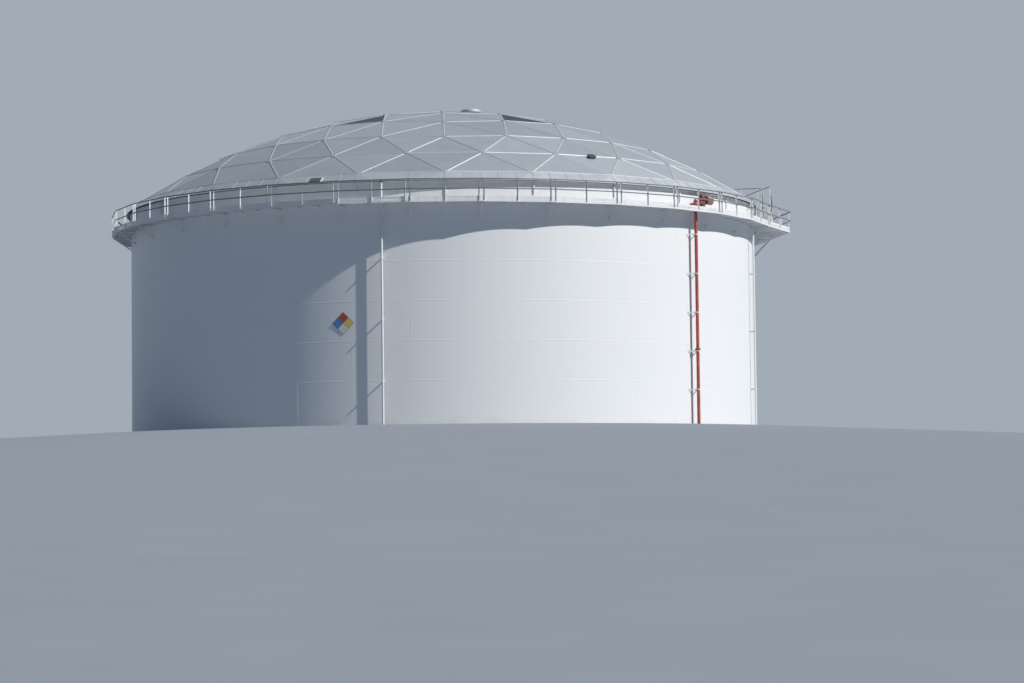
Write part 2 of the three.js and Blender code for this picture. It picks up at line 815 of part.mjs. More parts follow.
// A stile from the platform to the rim: a landing with guards, and steps along the walkway
function buildStile() {
  const landingZ = shellHeight + stileLandingRise;
  const railZ = landingZ + stileRailHeight;
  const down = along(stileFar);
  const at = (radius, run, z) => polar(stileFar, radius, z).addScaledVector(down, run);
  const length = rad(stileFar - stileNear) * stileOuterRadius;
  const near = stilePost / 2 - length;
  const middle = (stileInnerRadius + stileOuterRadius) / 2;
  const width = stileOuterRadius - stileInnerRadius;
  const rise = (landingZ - deckTop) / stileRises;
  const reach = (stileRises - 0.5) * stileRun;
  const drop = (stileRises - 0.5) * rise;
  const foot = deckTop - stilePlate;
  const deckRoom = prism(ringOutline(platformRadius), 0, deckTop + gap);
  const plateZ = landingZ - stilePlate / 2;
  const plateEnds = [at(stileToeRadius, -length / 2, plateZ), at(stileOuterRadius, -length / 2, plateZ)];
  const parts = [bar(...plateEnds, length, stilePlate)];
  const beam = (start, end) => parts.push(bar(start, end, stilePost + 6, stilePost + 6));
  const post = (radius, run, from, to) => {
    parts.push(bar(at(radius, run, from), at(radius, run, to), stilePost, stilePost, down));
  };
  for (let i = 1; i < stileRises; i += 1) {
    const z = plateZ - i * rise;
    parts.push(bar(at(middle, (i - 1) * stileRun, z), at(middle, i * stileRun, z), width, stilePlate));
  }
  for (const radius of [stileInnerRadius, stileOuterRadius]) {
    parts.push(bar(
      at(radius, -stilePlate, landingZ - rise / 2),
      at(radius, reach, landingZ - rise / 2 - drop),
      stringerThickness,
      rise * 1.2,
    ));
    post(radius, reach, foot, railZ - drop);
    post(radius, 0, foot, railZ);
    beam(at(radius, 0, railZ), at(radius, reach, railZ - drop));
    beam(at(radius, 0, railZ - stileRailHeight / 2), at(radius, reach, railZ - stileRailHeight / 2 - drop));
  }
  post(stileToeRadius + stilePost, near, foot, plateZ);
  post(stileOuterRadius, near, foot, railZ);
  post(stileToeRadius + stilePost, 0, foot, railZ);
  post(stileGuardPost, 0, domeEdgeHeight + stileGuardRise, railZ);
  for (const z of [railZ, railZ - stileRailHeight / 2]) {
    beam(at(stileOuterRadius, near, z), at(stileOuterRadius, 0, z));
  }
  beam(at(stileInnerRadius, 0, railZ), at(stileGuardEnd, 0, railZ));
  beam(at(stileOuterRadius, near, railZ), at(domeEdgeRadius, near, railZ - stileGuardFall));
  addPiece('crossover_stile', joined(parts).subtract(domeRoom(1)).subtract(deckRoom), white);
}

function flange(point, axis, radius, thickness) {
  const half = axis.clone().multiplyScalar(thickness / 2);
  return rod(point.clone().sub(half), point.clone().add(half), radius, 12);
}

// White service pipes that stand off the shell on long arms and turn in under the flashing
function buildDrainPipes() {
  const r = shellRadius + drainPipe.standOff;
  const topZ = shellHeight - drainTopDrop;
  const up = new THREE.Vector3(0, 0, 1);
  drainPipe.azimuths.forEach((azimuth, i) => {
    const elbowZ = topZ - drainPipe.radius;
    const parts = [
      rod(polar(azimuth, r, 0), polar(azimuth, r, topZ), drainPipe.radius, 12),
      rod(polar(azimuth, r, elbowZ), polar(azimuth, rootRadius, elbowZ), drainPipe.radius - 6, 10),
      flange(polar(azimuth, r, topZ + 10), up, drainPipe.radius + 30, 44),
    ];
    for (const z of drainPipe.arms) {
      parts.push(radialBar(azimuth, rootRadius, shellRadius + armLength, z, armWidth, armDepth));
    }
    addPiece(`drain_pipe_${i + 1}`, joined(parts).subtract(shellRoom), white);
  });
}

// Foam risers on forked brackets, with a chamber over the walkway
function buildFoamRisers() {
  const names = ['front', 'rear'];
  const up = new THREE.Vector3(0, 0, 1);
  const r = shellRadius + foamRiser.standOff;
  const headZ = deckTop + 330;
  const runZ = headZ + 150;
  const middleZ = headZ + 300;
  foamRiser.azimuths.forEach((azimuth, i) => {
    const side = along(azimuth);
    const place = (across, z) => polar(azimuth, r, z).addScaledVector(side, across);
    const parts = [
      rod(place(0, 0), place(0, headZ + 210), foamRiser.radius, 12),
      flange(place(0, flangeHeight), up, 140, 60),
      flange(place(0, headZ + 20), up, 150, 60),
      rod(place(0, runZ), place(1000, runZ), 70, 8),
      rod(place(520, headZ - 20), place(520, headZ + 590), 165, 12),
      flange(place(520, headZ - 30), up, 200, 44),
      rod(place(800, middleZ), place(1290, middleZ), 215, 12),
      rod(place(0, runZ), polar(azimuth, rootRadius, runZ), 66, 8),
    ];
    const footAcross = (bracketSpread * (foamRiser.standOff + shellSink)) / foamRiser.standOff;
    for (const z of bracketHeights) {
      for (const across of [-footAcross, footAcross]) {
        const foot = polar(azimuth, rootRadius, z).addScaledVector(side, across);
        parts.push(bar(foot, place(0, z), bracketThickness, bracketDepth));
      }
    }
    addPiece(`foam_riser_${names[i]}`, joined(parts).subtract(shellRoom), red);
  });
}

// Diamond plate with four coloured quarters, on two blocks
function buildHazardPlate() {
  const { azimuth, height, half, thickness, standOff } = hazardPlate;
  const side = along(azimuth);
  const r = shellRadius + standOff;
  const middle = polar(azimuth, r, height);
  const normal = outward(azimuth);
  const edge = half * Math.SQRT2;
  const geometry = new THREE.BoxGeometry(edge, edge, thickness);
  geometry.rotateZ(Math.PI / 4);
  const place = new THREE.Matrix4().makeBasis(side, new THREE.Vector3(0, 0, 1), normal);
  place.setPosition(middle);
  geometry.applyMatrix4(place);
  const parts = [solid(geometry)];
  for (const lift of [-260, 260]) {
    const z = height + lift;
    parts.push(radialBar(azimuth, rootRadius, r, z, 80, 60));
  }
  addPiece('hazard_plate', joined(parts).subtract(shellRoom), placard);
}

// The vent and the hatch stand on the dome's panels and are trimmed to them
function buildDomeFittings() {
  const surface = sphereCentre.z + Math.sqrt(sphereRadius ** 2 - ventPlace.radius ** 2);
  const { azimuth, radius } = ventPlace;
  const low = surface - 75;
  const profile = [
    [0, low],
    [ventRadius - 130, low],
    [ventRadius - 130, surface + 200],
    [ventRadius, surface + 230],
    [ventRadius, surface + 310],
    [ventRadius * 0.55, surface + 420],
    [0, surface + 440],
  ].map(([x, y]) => new THREE.Vector2(x, y));
  const lathe = new THREE.LatheGeometry(profile, 24);
  lathe.rotateX(Math.PI / 2);
  const foot = polar(azimuth, radius, 0);
  lathe.translate(foot.x, foot.y, 0);
  addPiece('centre_vent', solid(lathe).subtract(domeRoom(1)), aluminium);

  const spot = polar(hatchPlace.azimuth, hatchPlace.radius, 0);
  spot.z = sphereCentre.z + Math.sqrt(sphereRadius ** 2 - hatchPlace.radius ** 2);
  const normal = spot.clone().sub(sphereCentre).normalize();
  const box = bar(
    spot.clone().addScaledVector(normal, -130),
    spot.clone().addScaledVector(normal, 90),
    360,
    260,
    outward(hatchPlace.azimuth),
  );
  addPiece('dome_hatch', box.subtract(domeRoom(0)), galvanized);
}

buildBottom();
buildShell();
buildWalkway();
buildPlatform();
buildHandrails();
buildStair();
buildStile();
buildDrainPipes();
buildFoamRisers();
buildHazardPlate();
buildDome();
buildDomeFittings();
buildFlashing();

export default tank;
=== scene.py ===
import random
from math import cos, degrees, pi, radians, sin, sqrt

import bmesh
import bpy
from mathutils import Matrix, Vector


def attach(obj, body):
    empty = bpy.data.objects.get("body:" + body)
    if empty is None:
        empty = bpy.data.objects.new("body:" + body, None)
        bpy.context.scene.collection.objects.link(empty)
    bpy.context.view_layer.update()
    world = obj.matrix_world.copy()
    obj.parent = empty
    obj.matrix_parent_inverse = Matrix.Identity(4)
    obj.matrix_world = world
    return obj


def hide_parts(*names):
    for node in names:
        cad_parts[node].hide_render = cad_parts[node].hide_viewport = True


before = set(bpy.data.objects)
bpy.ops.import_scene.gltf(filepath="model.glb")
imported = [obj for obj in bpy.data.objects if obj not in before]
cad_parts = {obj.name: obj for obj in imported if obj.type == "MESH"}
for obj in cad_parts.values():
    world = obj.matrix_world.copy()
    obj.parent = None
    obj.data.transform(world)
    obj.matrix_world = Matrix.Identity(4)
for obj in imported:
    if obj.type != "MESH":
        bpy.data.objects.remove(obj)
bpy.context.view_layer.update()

random.seed(7)
up = Vector((0, 0, 1))

# Azimuths run in degrees from the front (-Y) towards the right (+X), lengths are metres
tank = {"radius": 16.764, "height": 12.192, "deckZ": 11.125, "deckRadius": 17.752, "sections": 31, "phase": -0.17,
        "clear": 0.002}
sectionAngle = 360 / tank["sections"]


def polar(azimuth, radius, z):
    a = radians(azimuth)
    return Vector((radius * sin(a), -radius * cos(a), z))


# A point that stands out from the wall's face
def offWall(azimuth, out, z):
    return polar(azimuth, tank["radius"] + out, z)


def outward(azimuth):
    return polar(azimuth, 1, 0)


def along(azimuth):
    a = radians(azimuth)
    return Vector((cos(a), sin(a), 0))


def joint(k):
    return (k + 0.5) * sectionAngle + tank["phase"]


def spread(start, end, count):
    return [start + (end - start) * i / count for i in range(count + 1)]


def newObject(name, data):
    made = bpy.data.objects.new(name, data)
    bpy.context.scene.collection.objects.link(made)
    return made


# Limits in the mesh code: two angles in degrees, a cosine, the most a bend is mitred, the radius of a tip
limits = {"sharp": 40, "bevelled": 50, "parallel": 0.95, "mitre": 0.6, "tip": 1e-4}


# Two directions square to an axis and to each other
def crossways(axis, over, spare):
    helper = over if abs(axis.dot(over)) < limits["parallel"] else spare
    side = helper.cross(axis).normalized()
    return side, axis.cross(side)


def circle(place, side, lift, radius, sides):
    turns = [2 * pi * j / sides for j in range(sides)]
    return [place + (side * cos(t) + lift * sin(t)) * radius for t in turns]


class Piece:
    def __init__(self):
        self.verts, self.faces, self.looks, self.tones = [], [], [], []
        self.look, self.tone = 0, 0.5

    def add(self, verts, faces):
        base = len(self.verts)
        self.verts += verts
        self.faces += [[base + i for i in face] for face in faces]
        self.looks += [self.look] * len(faces)
        self.tones += [self.tone] * len(faces)

    # Rows of section corners, capped at both ends unless the rows close on themselves
    def loft(self, rows, loop=False):
        size, count = len(rows[0]), len(rows)
        faces = []
        for i in range(count if loop else count - 1):
            a, b = i * size, (i + 1) % count * size
            for j in range(size):
                k = (j + 1) % size
                faces.append((a + j, a + k, b + k, b + j))
        if not loop:
            faces.append(tuple(range(size - 1, -1, -1)))
            faces.append(tuple((count - 1) * size + j for j in range(size)))
        self.add([p for row in rows for p in row], faces)

    # A straight bar with a section of (across, lift) corners
    def section(self, a, b, corners, over=up):
        run = (b - a).normalized()
        side = over.cross(run).normalized()
        lift = run.cross(side)
        self.loft([[p + side * x + lift * y for x, y in corners] for p in (a, b)])

    # A flat bar along a line, or raised off it
    def bar(self, a, b, width, height, over=up, rise=0.0):
        x, y = width / 2, height / 2
        self.section(a + over * rise, b + over * rise, [(-x, -y), (x, -y), (x, y), (-x, y)], over)

    def angle(self, a, b, leg, thick, over=up):
        self.section(a, b, [(0, 0), (leg, 0), (leg, thick), (thick, thick), (thick, leg), (0, leg)], over)

    def channel(self, a, b, width, depth, thick):
        x, y = width, depth / 2
        self.section(a, b, [(0, -y), (x, -y), (x, thick - y), (thick, thick - y), (thick, y - thick),
                            (x, y - thick), (x, y), (0, y)])

    # A round tube through points, its rings square to the path and mitred at the bends
    def tube(self, points, radius, sides=12, over=up):
        rows = []
        spare = Vector((1, 0.2, 0)).normalized()
        for i, p in enumerate(points):
            before, after = points[max(i - 1, 0)], points[min(i + 1, len(points) - 1)]
            side, lift = crossways((after - before).normalized(), over, spare)
            if 0 < i < len(points) - 1:
                side = side / max(limits["mitre"], cos((p - before).angle(after - p) / 2))
            rows.append(circle(p, side, lift, radius, sides))
        self.loft(rows)

    # A turned solid: (radius, height) corners round an axis
    def turned(self, place, axis, profile, sides=24):
        side, lift = crossways(axis, up, Vector((1, 0, 0)))
        self.loft([circle(place + axis * h, side, lift, max(r, limits["tip"]), sides) for r, h in profile])

    def collar(self, place, axis, inner, outer, low, high, sides=24):
        self.turned(place, axis, [(inner, low), (outer, low), (outer, high), (inner, high)], sides)

    # A section of (radius, height) corners swept round the tank's axis
    def swept(self, azimuths, corners):
        self.loft([[polar(a, r, z) for r, z in corners] for a in azimuths], loop=True)

    def slab(self, outline, low, high):
        self.loft([[Vector((p.x, p.y, z)) for p in outline] for z in (low, high)])

    # An upright pad plate on the wall, with its (width, height, thickness)
    def pad(self, azimuth, place, size):
        width, height, thick = size
        self.bar(place - up * height / 2, place + up * height / 2, width, thick, outward(azimuth))

    def bolt(self, place, axis, size):
        self.turned(place, axis, [(size, 0), (size, size * 0.7), (size * 0.8, size * 0.85)], 6)

    def make(self, name, slot, looks, replaces=(), bevel=0.0, body="root"):
        mesh = bpy.data.meshes.new(name)
        mesh.from_pydata([tuple(v) for v in self.verts], [], self.faces)
        for look in looks:
            mesh.materials.append(look)
        mesh.polygons.foreach_set("material_index", self.looks)
        tone = mesh.attributes.new("tone", "FLOAT", "FACE")
        tone.data.foreach_set("value", self.tones)
        shape = bmesh.new()
        shape.from_mesh(mesh)
        bmesh.ops.recalc_face_normals(shape, faces=shape.faces)
        shape.to_mesh(mesh)
        shape.free()
        mesh.update()
        obj = newObject(name, mesh)
        if bevel:
            cut = obj.modifiers.new("edges", "BEVEL")
            cut.width = bevel
            cut.segments = 1
            cut.limit_method = "ANGLE"
            cut.angle_limit = radians(limits["bevelled"])
        mesh.shade_smooth()
        mesh.set_sharp_from_angle(angle=radians(limits["sharp"]))
        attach(obj, body)
        if replaces:
            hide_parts(*replaces)


# Values in a node tree, so that masks are written as sums
class Value:
    def __init__(self, owner, socket):
        self.owner = owner
        self.socket = socket

    def sum(self, operation, a, b=0.0):
        return self.owner.node("ShaderNodeMath", {"operation": operation}, [a, b])

    def __add__(self, other):
        return self.sum("ADD", self, other)

    def __radd__(self, other):
        return self.sum("ADD", other, self)

    def __sub__(self, other):
        return self.sum("SUBTRACT", self, other)

    def __rsub__(self, other):
        return self.sum("SUBTRACT", other, self)

    def __mul__(self, other):
        return self.sum("MULTIPLY", self, other)

    def __rmul__(self, other):
        return self.sum("MULTIPLY", other, self)

    def __truediv__(self, other):
        return self.sum("DIVIDE", self, other)

    def __rtruediv__(self, other):
        return self.sum("DIVIDE", other, self)

    def clamped(self):
        return self.owner.node("ShaderNodeClamp", {}, [self, 0.0, 1.0])

    def floor(self):
        return self.sum("FLOOR", self)


# The nodes of a material or of the sky
class Nodes:
    def __init__(self, tree):
        self.tree = tree

    # Any node: its settings first, then the values or links of its sockets, in order or by name
    def node(self, kind, settings, inputs, output=0):
        made = self.tree.nodes.new(kind)
        for key, value in settings.items():
            setattr(made, key, value)
        self.fill(made, inputs if isinstance(inputs, dict) else dict(enumerate(inputs)))
        return Value(self, made.outputs[output])

    def fill(self, made, inputs):
        for key, value in inputs.items():
            if isinstance(value, Value):
                self.tree.links.new(value.socket, made.inputs[key])
            else:
                made.inputs[key].default_value = value

    def ramp(self, value, low, high, way="LINEAR"):
        return self.node("ShaderNodeMapRange", {"interpolation_type": way}, [value, low, high, 0.0, 1.0])

    def blend(self, amount, first, second):
        return self.node("ShaderNodeMix", {"data_type": "RGBA"}, {0: amount, 6: first, 7: second}, 2)

    def parts(self, vector):
        split = self.node("ShaderNodeSeparateXYZ", {}, [vector])
        return [Value(self, socket) for socket in split.socket.node.outputs]


class Look(Nodes):
    def __init__(self, name, metallic=0.0, coat=0.0):
        self.material = bpy.data.materials.new(name)
        self.material.use_nodes = True
        super().__init__(self.material.node_tree)
        self.shader = self.tree.nodes["Principled BSDF"]
        self.fill(self.shader, {"Metallic": metallic, "Coat Weight": coat})
        self.place = self.node("ShaderNodeTexCoord", {}, [], "Object")

    def noise(self, scale, detail=3.0, rough=0.55, place=None):
        return self.node("ShaderNodeTexNoise", {}, {
            "Vector": place or self.place, "Scale": scale, "Detail": detail, "Roughness": rough})

    def stretched(self, x, y, z):
        return self.node("ShaderNodeVectorMath", {"operation": "MULTIPLY"}, [self.place, (x, y, z)])

    def tone(self):
        return self.node("ShaderNodeAttribute", {"attribute_name": "tone"}, [], "Fac")

    def wear(self, colour, roughness, bump=None, strength=0.1, distance=0.001):
        self.fill(self.shader, {"Base Color": colour, "Roughness": roughness})
        if bump:
            self.fill(self.shader, {"Normal": self.node("ShaderNodeBump", {}, {
                "Strength": strength, "Distance": distance, "Height": bump})})
        return self.material


def rgb(r, g, b):
    return (r, g, b, 1.0)


# Weathered white paint, with grime that runs down and a little rust at its worst spots
paint = {"clean": rgb(0.81, 0.82, 0.82), "chalk": rgb(0.74, 0.76, 0.765), "grime": rgb(0.36, 0.35, 0.32),
         "rust": rgb(0.30, 0.14, 0.06)}


def whitePaint(name, dirt, rust):
    look = Look(name, coat=0.05)
    cloud = look.noise(0.5, 4.0)
    speck = look.noise(14.0)
    runs = look.noise(1.0, 5.0, 0.6, look.stretched(5.0, 5.0, 0.35))
    grime = look.ramp(runs, 0.5, 0.78) * dirt
    spots = look.ramp(look.noise(5.0, 6.0, 0.7), 0.66, 0.74) * rust
    colour = look.blend(look.ramp(cloud, 0.35, 0.75), paint["clean"], paint["chalk"])
    colour = look.blend(grime, colour, paint["grime"])
    colour = look.blend(spots, colour, paint["rust"])
    return look.wear(colour, 0.4 + 0.2 * cloud + 0.25 * spots, speck + cloud, 0.15, 0.002)


# Bare metal that has gone dull, each face a little lighter or darker by its tone
def aluminium(name, low, high, rough, mottle, bare):
    look = Look(name, metallic=bare)
    tone = look.tone()
    cloud = look.noise(0.9, 5.0, 0.6)
    stain = look.ramp(look.noise(1.0, 6.0, 0.65, look.stretched(1.6, 1.6, 3.0)), 0.52, 0.8)
    fine = look.noise(40.0)
    shade = (tone * 0.75 + cloud * mottle * 2 + 0.05).clamped()
    colour = look.blend(shade, low, high)
    colour = look.blend(stain * 0.28, colour, rgb(0.25, 0.26, 0.27))
    return look.wear(colour, rough + 0.18 * cloud + 0.1 * stain, cloud + 0.1 * fine, 0.12, 0.004)


def skylightGlaze():
    look = Look("skylightGlaze")
    look.fill(look.shader, {"Specular IOR Level": 0.15})
    cloud = look.noise(1.2, 4.0)
    colour = look.blend(look.ramp(cloud, 0.3, 0.8), rgb(0.035, 0.04, 0.055), rgb(0.085, 0.09, 0.12))
    return look.wear(colour, 0.4 + 0.2 * cloud, cloud, 0.1, 0.003)


def redPaint(name, deep, faded, dark):
    look = Look(name, coat=0.05)
    cloud = look.noise(2.5, 5.0, 0.6)
    runs = look.noise(1.0, 5.0, 0.6, look.stretched(9.0, 9.0, 0.6))
    colour = look.blend(look.ramp(cloud, 0.35, 0.75), deep, faded)
    colour = look.blend(look.ramp(runs, 0.55, 0.8) * 0.5, colour, dark)
    return look.wear(colour, 0.45 + 0.25 * cloud, look.noise(60.0), 0.1)


def zincCoat(name, dark, light):
    look = Look(name, metallic=0.3)
    spangle = look.node("ShaderNodeTexVoronoi", {}, {"Vector": look.place, "Scale": 55.0}, "Distance")
    cloud = look.noise(3.0, 5.0)
    colour = look.blend((spangle * 0.8 + cloud * 0.5).clamped(), dark, light)
    return look.wear(colour, 0.42 + 0.25 * cloud, spangle, 0.08)


def enamel(name, colour, faded):
    look = Look(name, coat=0.1)
    cloud = look.noise(4.0, 5.0)
    tint = look.blend(look.ramp(cloud, 0.3, 0.75), colour, faded)
    tint = look.blend(look.ramp(look.noise(16.0, 6.0, 0.7), 0.62, 0.7) * 0.35, tint, rgb(0.25, 0.2, 0.16))
    return look.wear(tint, 0.32 + 0.3 * cloud, look.noise(80.0), 0.06)


white = whitePaint("whitePaint", dirt=0.22, rust=0.2)
railWhite = whitePaint("railWhite", dirt=0.3, rust=0.35)
panelMetal = aluminium("panelMetal", rgb(0.46, 0.495, 0.53), rgb(0.55, 0.585, 0.62), 0.63, mottle=0.05, bare=0.9)
# Battens lighter than the panels: painted highlight standing in for sun glints along them; the crown vent uses this
# metal too
battenMetal = aluminium("battenMetal", rgb(0.55, 0.57, 0.59), rgb(0.64, 0.66, 0.68), 0.5, mottle=0.05, bare=0.7)
hubMetal = aluminium("hubMetal", rgb(0.36, 0.37, 0.39), rgb(0.50, 0.51, 0.53), 0.5, mottle=0.08, bare=0.4)
skirtMetal = aluminium("skirtMetal", rgb(0.50, 0.53, 0.555), rgb(0.58, 0.61, 0.635), 0.63, mottle=0.05, bare=0.75)
glaze = skylightGlaze()
red = redPaint("redPaint", rgb(0.44, 0.06, 0.045), rgb(0.54, 0.14, 0.10), rgb(0.24, 0.07, 0.05))
darkRed = redPaint("darkRedPaint", rgb(0.16, 0.05, 0.04), rgb(0.24, 0.09, 0.07), rgb(0.09, 0.05, 0.045))
chamberPaint = redPaint("chamberPaint", rgb(0.40, 0.19, 0.15), rgb(0.50, 0.29, 0.24), rgb(0.28, 0.16, 0.13))
zinc = zincCoat("railZinc", rgb(0.13, 0.14, 0.155), rgb(0.24, 0.25, 0.27))
darkZinc = zincCoat("darkZinc", rgb(0.06, 0.062, 0.066), rgb(0.14, 0.145, 0.15))
print("looks made")

# The round wall: six courses with weld beads, the rim angle on top and uprights under it
shell = {"thick": 0.03, "facets": 288, "firstSeam": 2.43, "course": 1.953, "bead": 0.004, "beadHalf": 0.02,
         "beadShape": ((-1, 0), (-0.5, 0.75), (0, 1), (0.5, 0.75), (1, 0)), "plates": 12, "firstPlate": 4,
         "shift": 10.0, "seamEnd": 0.01, "seamRoot": 0.004, "seamCrown": 0.0028, "toneShift": 0.175,
         "floor": 0.0303, "hold": 0.02, "gap": 0.001, "angleLeg": 0.076, "angleThick": 0.012}
rimPost = {"count": 24, "half": 0.0325, "depth": 0.074, "web": 0.008, "foot": 11.56}
bottom = {"hub": 0.05, "thick": 0.03, "out": 0.075, "gap": 0.0005, "weld": (0.014, 0.015)}
wallTurns = [360 * i / shell["facets"] for i in range(shell["facets"])]


# White paint whose shade changes a little from plate to plate, with long faint runs from the rim
def shellPaint():
    look = Look("shellPaint", coat=0.08)
    x, y, z = look.parts(look.place)
    course = ((z - (shell["firstSeam"] - shell["course"])) / shell["course"]).floor()
    azimuth = look.node("ShaderNodeMath", {"operation": "ARCTAN2"}, [x, y])
    plate = ((azimuth + course * shell["toneShift"]) / (2 * pi / shell["plates"])).floor()
    pair = look.node("ShaderNodeCombineXYZ", {}, [plate, course, 0.0])
    each = look.node("ShaderNodeTexWhiteNoise", {"noise_dimensions": "3D"}, [pair], "Value")
    cloud = look.noise(0.16, 4.0, 0.5)
    runs = look.noise(1.0, 6.0, 0.62, look.stretched(2.6, 2.6, 0.09))
    fine = look.noise(30.0, 2.0)
    shade = look.ramp(cloud, 0.3, 0.8) * 0.25 + each * 0.12
    colour = look.blend(shade, paint["clean"], paint["chalk"])
    rimRuns = look.ramp(runs, 0.52, 0.78) * look.ramp(z, 3.0, 12.2) * 0.07
    colour = look.blend(rimRuns, colour, paint["grime"])
    splash = look.ramp(look.noise(0.9, 5.0, 0.6) - z * 0.6, 0.2, 0.6) * 0.25
    colour = look.blend(splash, colour, paint["grime"])
    rust = look.ramp(look.noise(2.2, 7.0, 0.72), 0.72, 0.77) * 0.2
    colour = look.blend(rust, colour, paint["rust"])
    waves = look.noise(0.4, 2.0, 0.4)
    return look.wear(colour, 0.38 + 0.12 * cloud + 0.2 * rimRuns, waves + 0.01 * fine, 0.12, 0.01)


def buildWall():
    r, top, low, hold = tank["radius"], tank["height"], shell["floor"], shell["hold"]
    half, inside = shell["beadHalf"], tank["radius"] - shell["thick"]
    seams = [shell["firstSeam"] + shell["course"] * i for i in range(5)]
    corners = [(r, low), (r, low + hold)]
    for z in seams:
        corners.append((r, z - half - hold))
        corners += [(r + shell["bead"] * height, z + half * step) for step, height in shell["beadShape"]]
        corners.append((r, z + half + hold))
    corners += [(r, top - hold), (r, top), (inside, top), (inside, low)]
    piece = Piece()
    piece.swept(wallTurns, corners)
    edges = [low + hold] + seams + [top - hold]
    turn = degrees(half / r)
    bead = [(-turn, -shell["seamRoot"]), (-turn / 2, shell["seamCrown"]), (turn / 2, shell["seamCrown"]),
            (turn, -shell["seamRoot"])]
    for course in range(6):
        ends = edges[course] + shell["seamEnd"], edges[course + 1] - shell["seamEnd"]
        for i in range(shell["plates"]):
            azimuth = i * 360 / shell["plates"] + course * shell["shift"] + shell["firstPlate"]
            piece.loft([[offWall(azimuth + a, out, z) for a, out in bead] for z in ends])
    piece.make("shellPlates", "white_paint", [shellPaint()], ["shell_wall_%d" % i for i in range(1, 7)])


def buildRim():
    top, near = tank["height"], tank["radius"] + shell["gap"]
    t, leg, far = shell["angleThick"], shell["angleLeg"], tank["radius"] + shell["angleLeg"]
    rim = Piece()
    rim.swept(wallTurns, [(near, top), (far, top), (far, top - t), (near + t, top - t), (near + t, top - leg),
                          (near, top - leg)])
    rim.make("rimAngle", "white_paint", [white])
    posts = Piece()
    w, d, web = rimPost["half"], rimPost["depth"], rimPost["web"]
    hat = [(-w, 0), (-w + web, 0), (-w + web, d - web), (w - web, d - web), (w - web, 0), (w, 0), (w, d), (-w, d)]
    for azimuth in spread(0, 360, rimPost["count"])[:-1]:
        low, high = (offWall(azimuth, -shell["gap"], z) for z in (rimPost["foot"], top - t - shell["gap"]))
        posts.section(low, high, hat, outward(azimuth))
    posts.make("rimPosts", "white_paint", [white], bevel=0.002)


# The bottom plate, with the weld that joins the wall to it
def buildBottom():
    base = Piece()
    hub, thick = bottom["hub"], bottom["thick"]
    out, near = (tank["radius"] + bottom[key] for key in ("out", "gap"))
    base.swept(wallTurns, [(hub, 0), (out, 0), (out, thick), (hub, thick)])
    low, (reach, rise) = thick + bottom["gap"], bottom["weld"]
    base.swept(wallTurns, [(near, low), (tank["radius"] + reach, low), (near, thick + rise)])
    base.make("bottomPlate", "white_paint", [whitePaint("chimePaint", dirt=0.8, rust=1.0)], ["bottom_plate"])


buildWall()
buildRim()
buildBottom()
print("shell built")

# The girder walkway: plates with a fascia, stiffeners, knee braces and their pads
walk = {"thick": 0.012, "fascia": 0.076, "lip": 0.006, "jointGap": 0.004, "rim": 0.0005, "out": 0.006, "in": 0.008,
        "steps": 20, "platformRadius": 18.715, "wallGap": 0.01, "ribs": (0.02, 0.35, 0.65, 0.98), "ribDrop": 0.06,
        "rib": (0.05, 0.006), "ribEnd": 0.03}
brace = {"leg": 0.064, "thick": 0.008, "under": 0.016, "headDrop": 0.01, "drop": 0.64, "shift": 0.06, "gap": 0.001,
         "pad": (0.15, 0.22, 0.012), "lug": ((0.02, 0), (0.26, 0), (0.2, 0.12), (0.06, 0.12)), "lugThick": 0.01,
         "bolts": ((-0.05, -0.07), (0.05, -0.07), (-0.05, 0.07), (0.05, 0.07)), "bolt": 0.014}
joist = {"drop": 0.05, "size": (0.05, 0.1, 0.008), "ends": (0.05, 0.12)}
raker = {"azimuths": (92.9, 104.5, 116.1), "drop": 1.29, "inset": 0.622, "leg": 0.09}
platformRadii = [tank["deckRadius"], walk["platformRadius"],
                 walk["platformRadius"] * cos(radians(sectionAngle)),
                 walk["platformRadius"], walk["platformRadius"]]
platformStart = 6
arcs = [("front", -3, 5), ("right", 2, 4), ("rear_right", 10, 6), ("rear_left", 16, 6), ("left", 22, 6)]


def kneeBrace(piece, azimuth, edge=tank["deckRadius"], drop=brace["drop"], size=brace["leg"]):
    under = tank["deckZ"] - brace["under"]
    thick = brace["pad"][2]
    side, front = along(azimuth), outward(azimuth)
    piece.pad(azimuth, offWall(azimuth, thick / 2 + brace["gap"], under - drop), brace["pad"])
    top = polar(azimuth, edge - size, under - brace["headDrop"]) - side * size / 2
    foot = offWall(azimuth, thick, under - drop) - side * size / 2
    piece.angle(top, foot, size, brace["thick"], front)
    lug = [polar(azimuth, edge - back, under - down) for back, down in brace["lug"]]
    piece.loft([[p + side * x for p in lug] for x in (size / 2, size / 2 + brace["lugThick"])])
    for across, lift in brace["bolts"]:
        piece.bolt(offWall(azimuth, thick + brace["gap"], under - drop + lift) + side * across, front, brace["bolt"])


def deckSection(piece, k, near, far):
    gap = degrees(walk["jointGap"] / 2 / near)
    a, b = joint(k) + gap, joint(k + 1) - gap
    z = tank["deckZ"]
    first, last = polar(a, near, 0), polar(b, far, 0)
    piece.slab([first, last] + [offWall(t, walk["rim"], 0) for t in spread(b, a, 10)], z - walk["thick"], z)
    faces = []
    for out in (walk["out"], -walk["in"]):
        faces.append((first.normalized() * (near + out), last.normalized() * (far + out)))
    rows = []
    high, low = up * (z + walk["lip"]), up * (z - walk["fascia"])
    for share in spread(0, 1, walk["steps"]):
        outer, inner = (start.lerp(end, share) for start, end in faces)
        rows.append([outer + high, outer + low, inner + low, inner + high])
    piece.loft(rows)
    for share in walk["ribs"]:
        azimuth = a + (b - a) * share
        reach = first.lerp(last, share).length - walk["ribEnd"]
        under = z - walk["thick"] - walk["ribDrop"]
        piece.angle(offWall(azimuth, walk["wallGap"], under), polar(azimuth, reach, under), *walk["rib"])


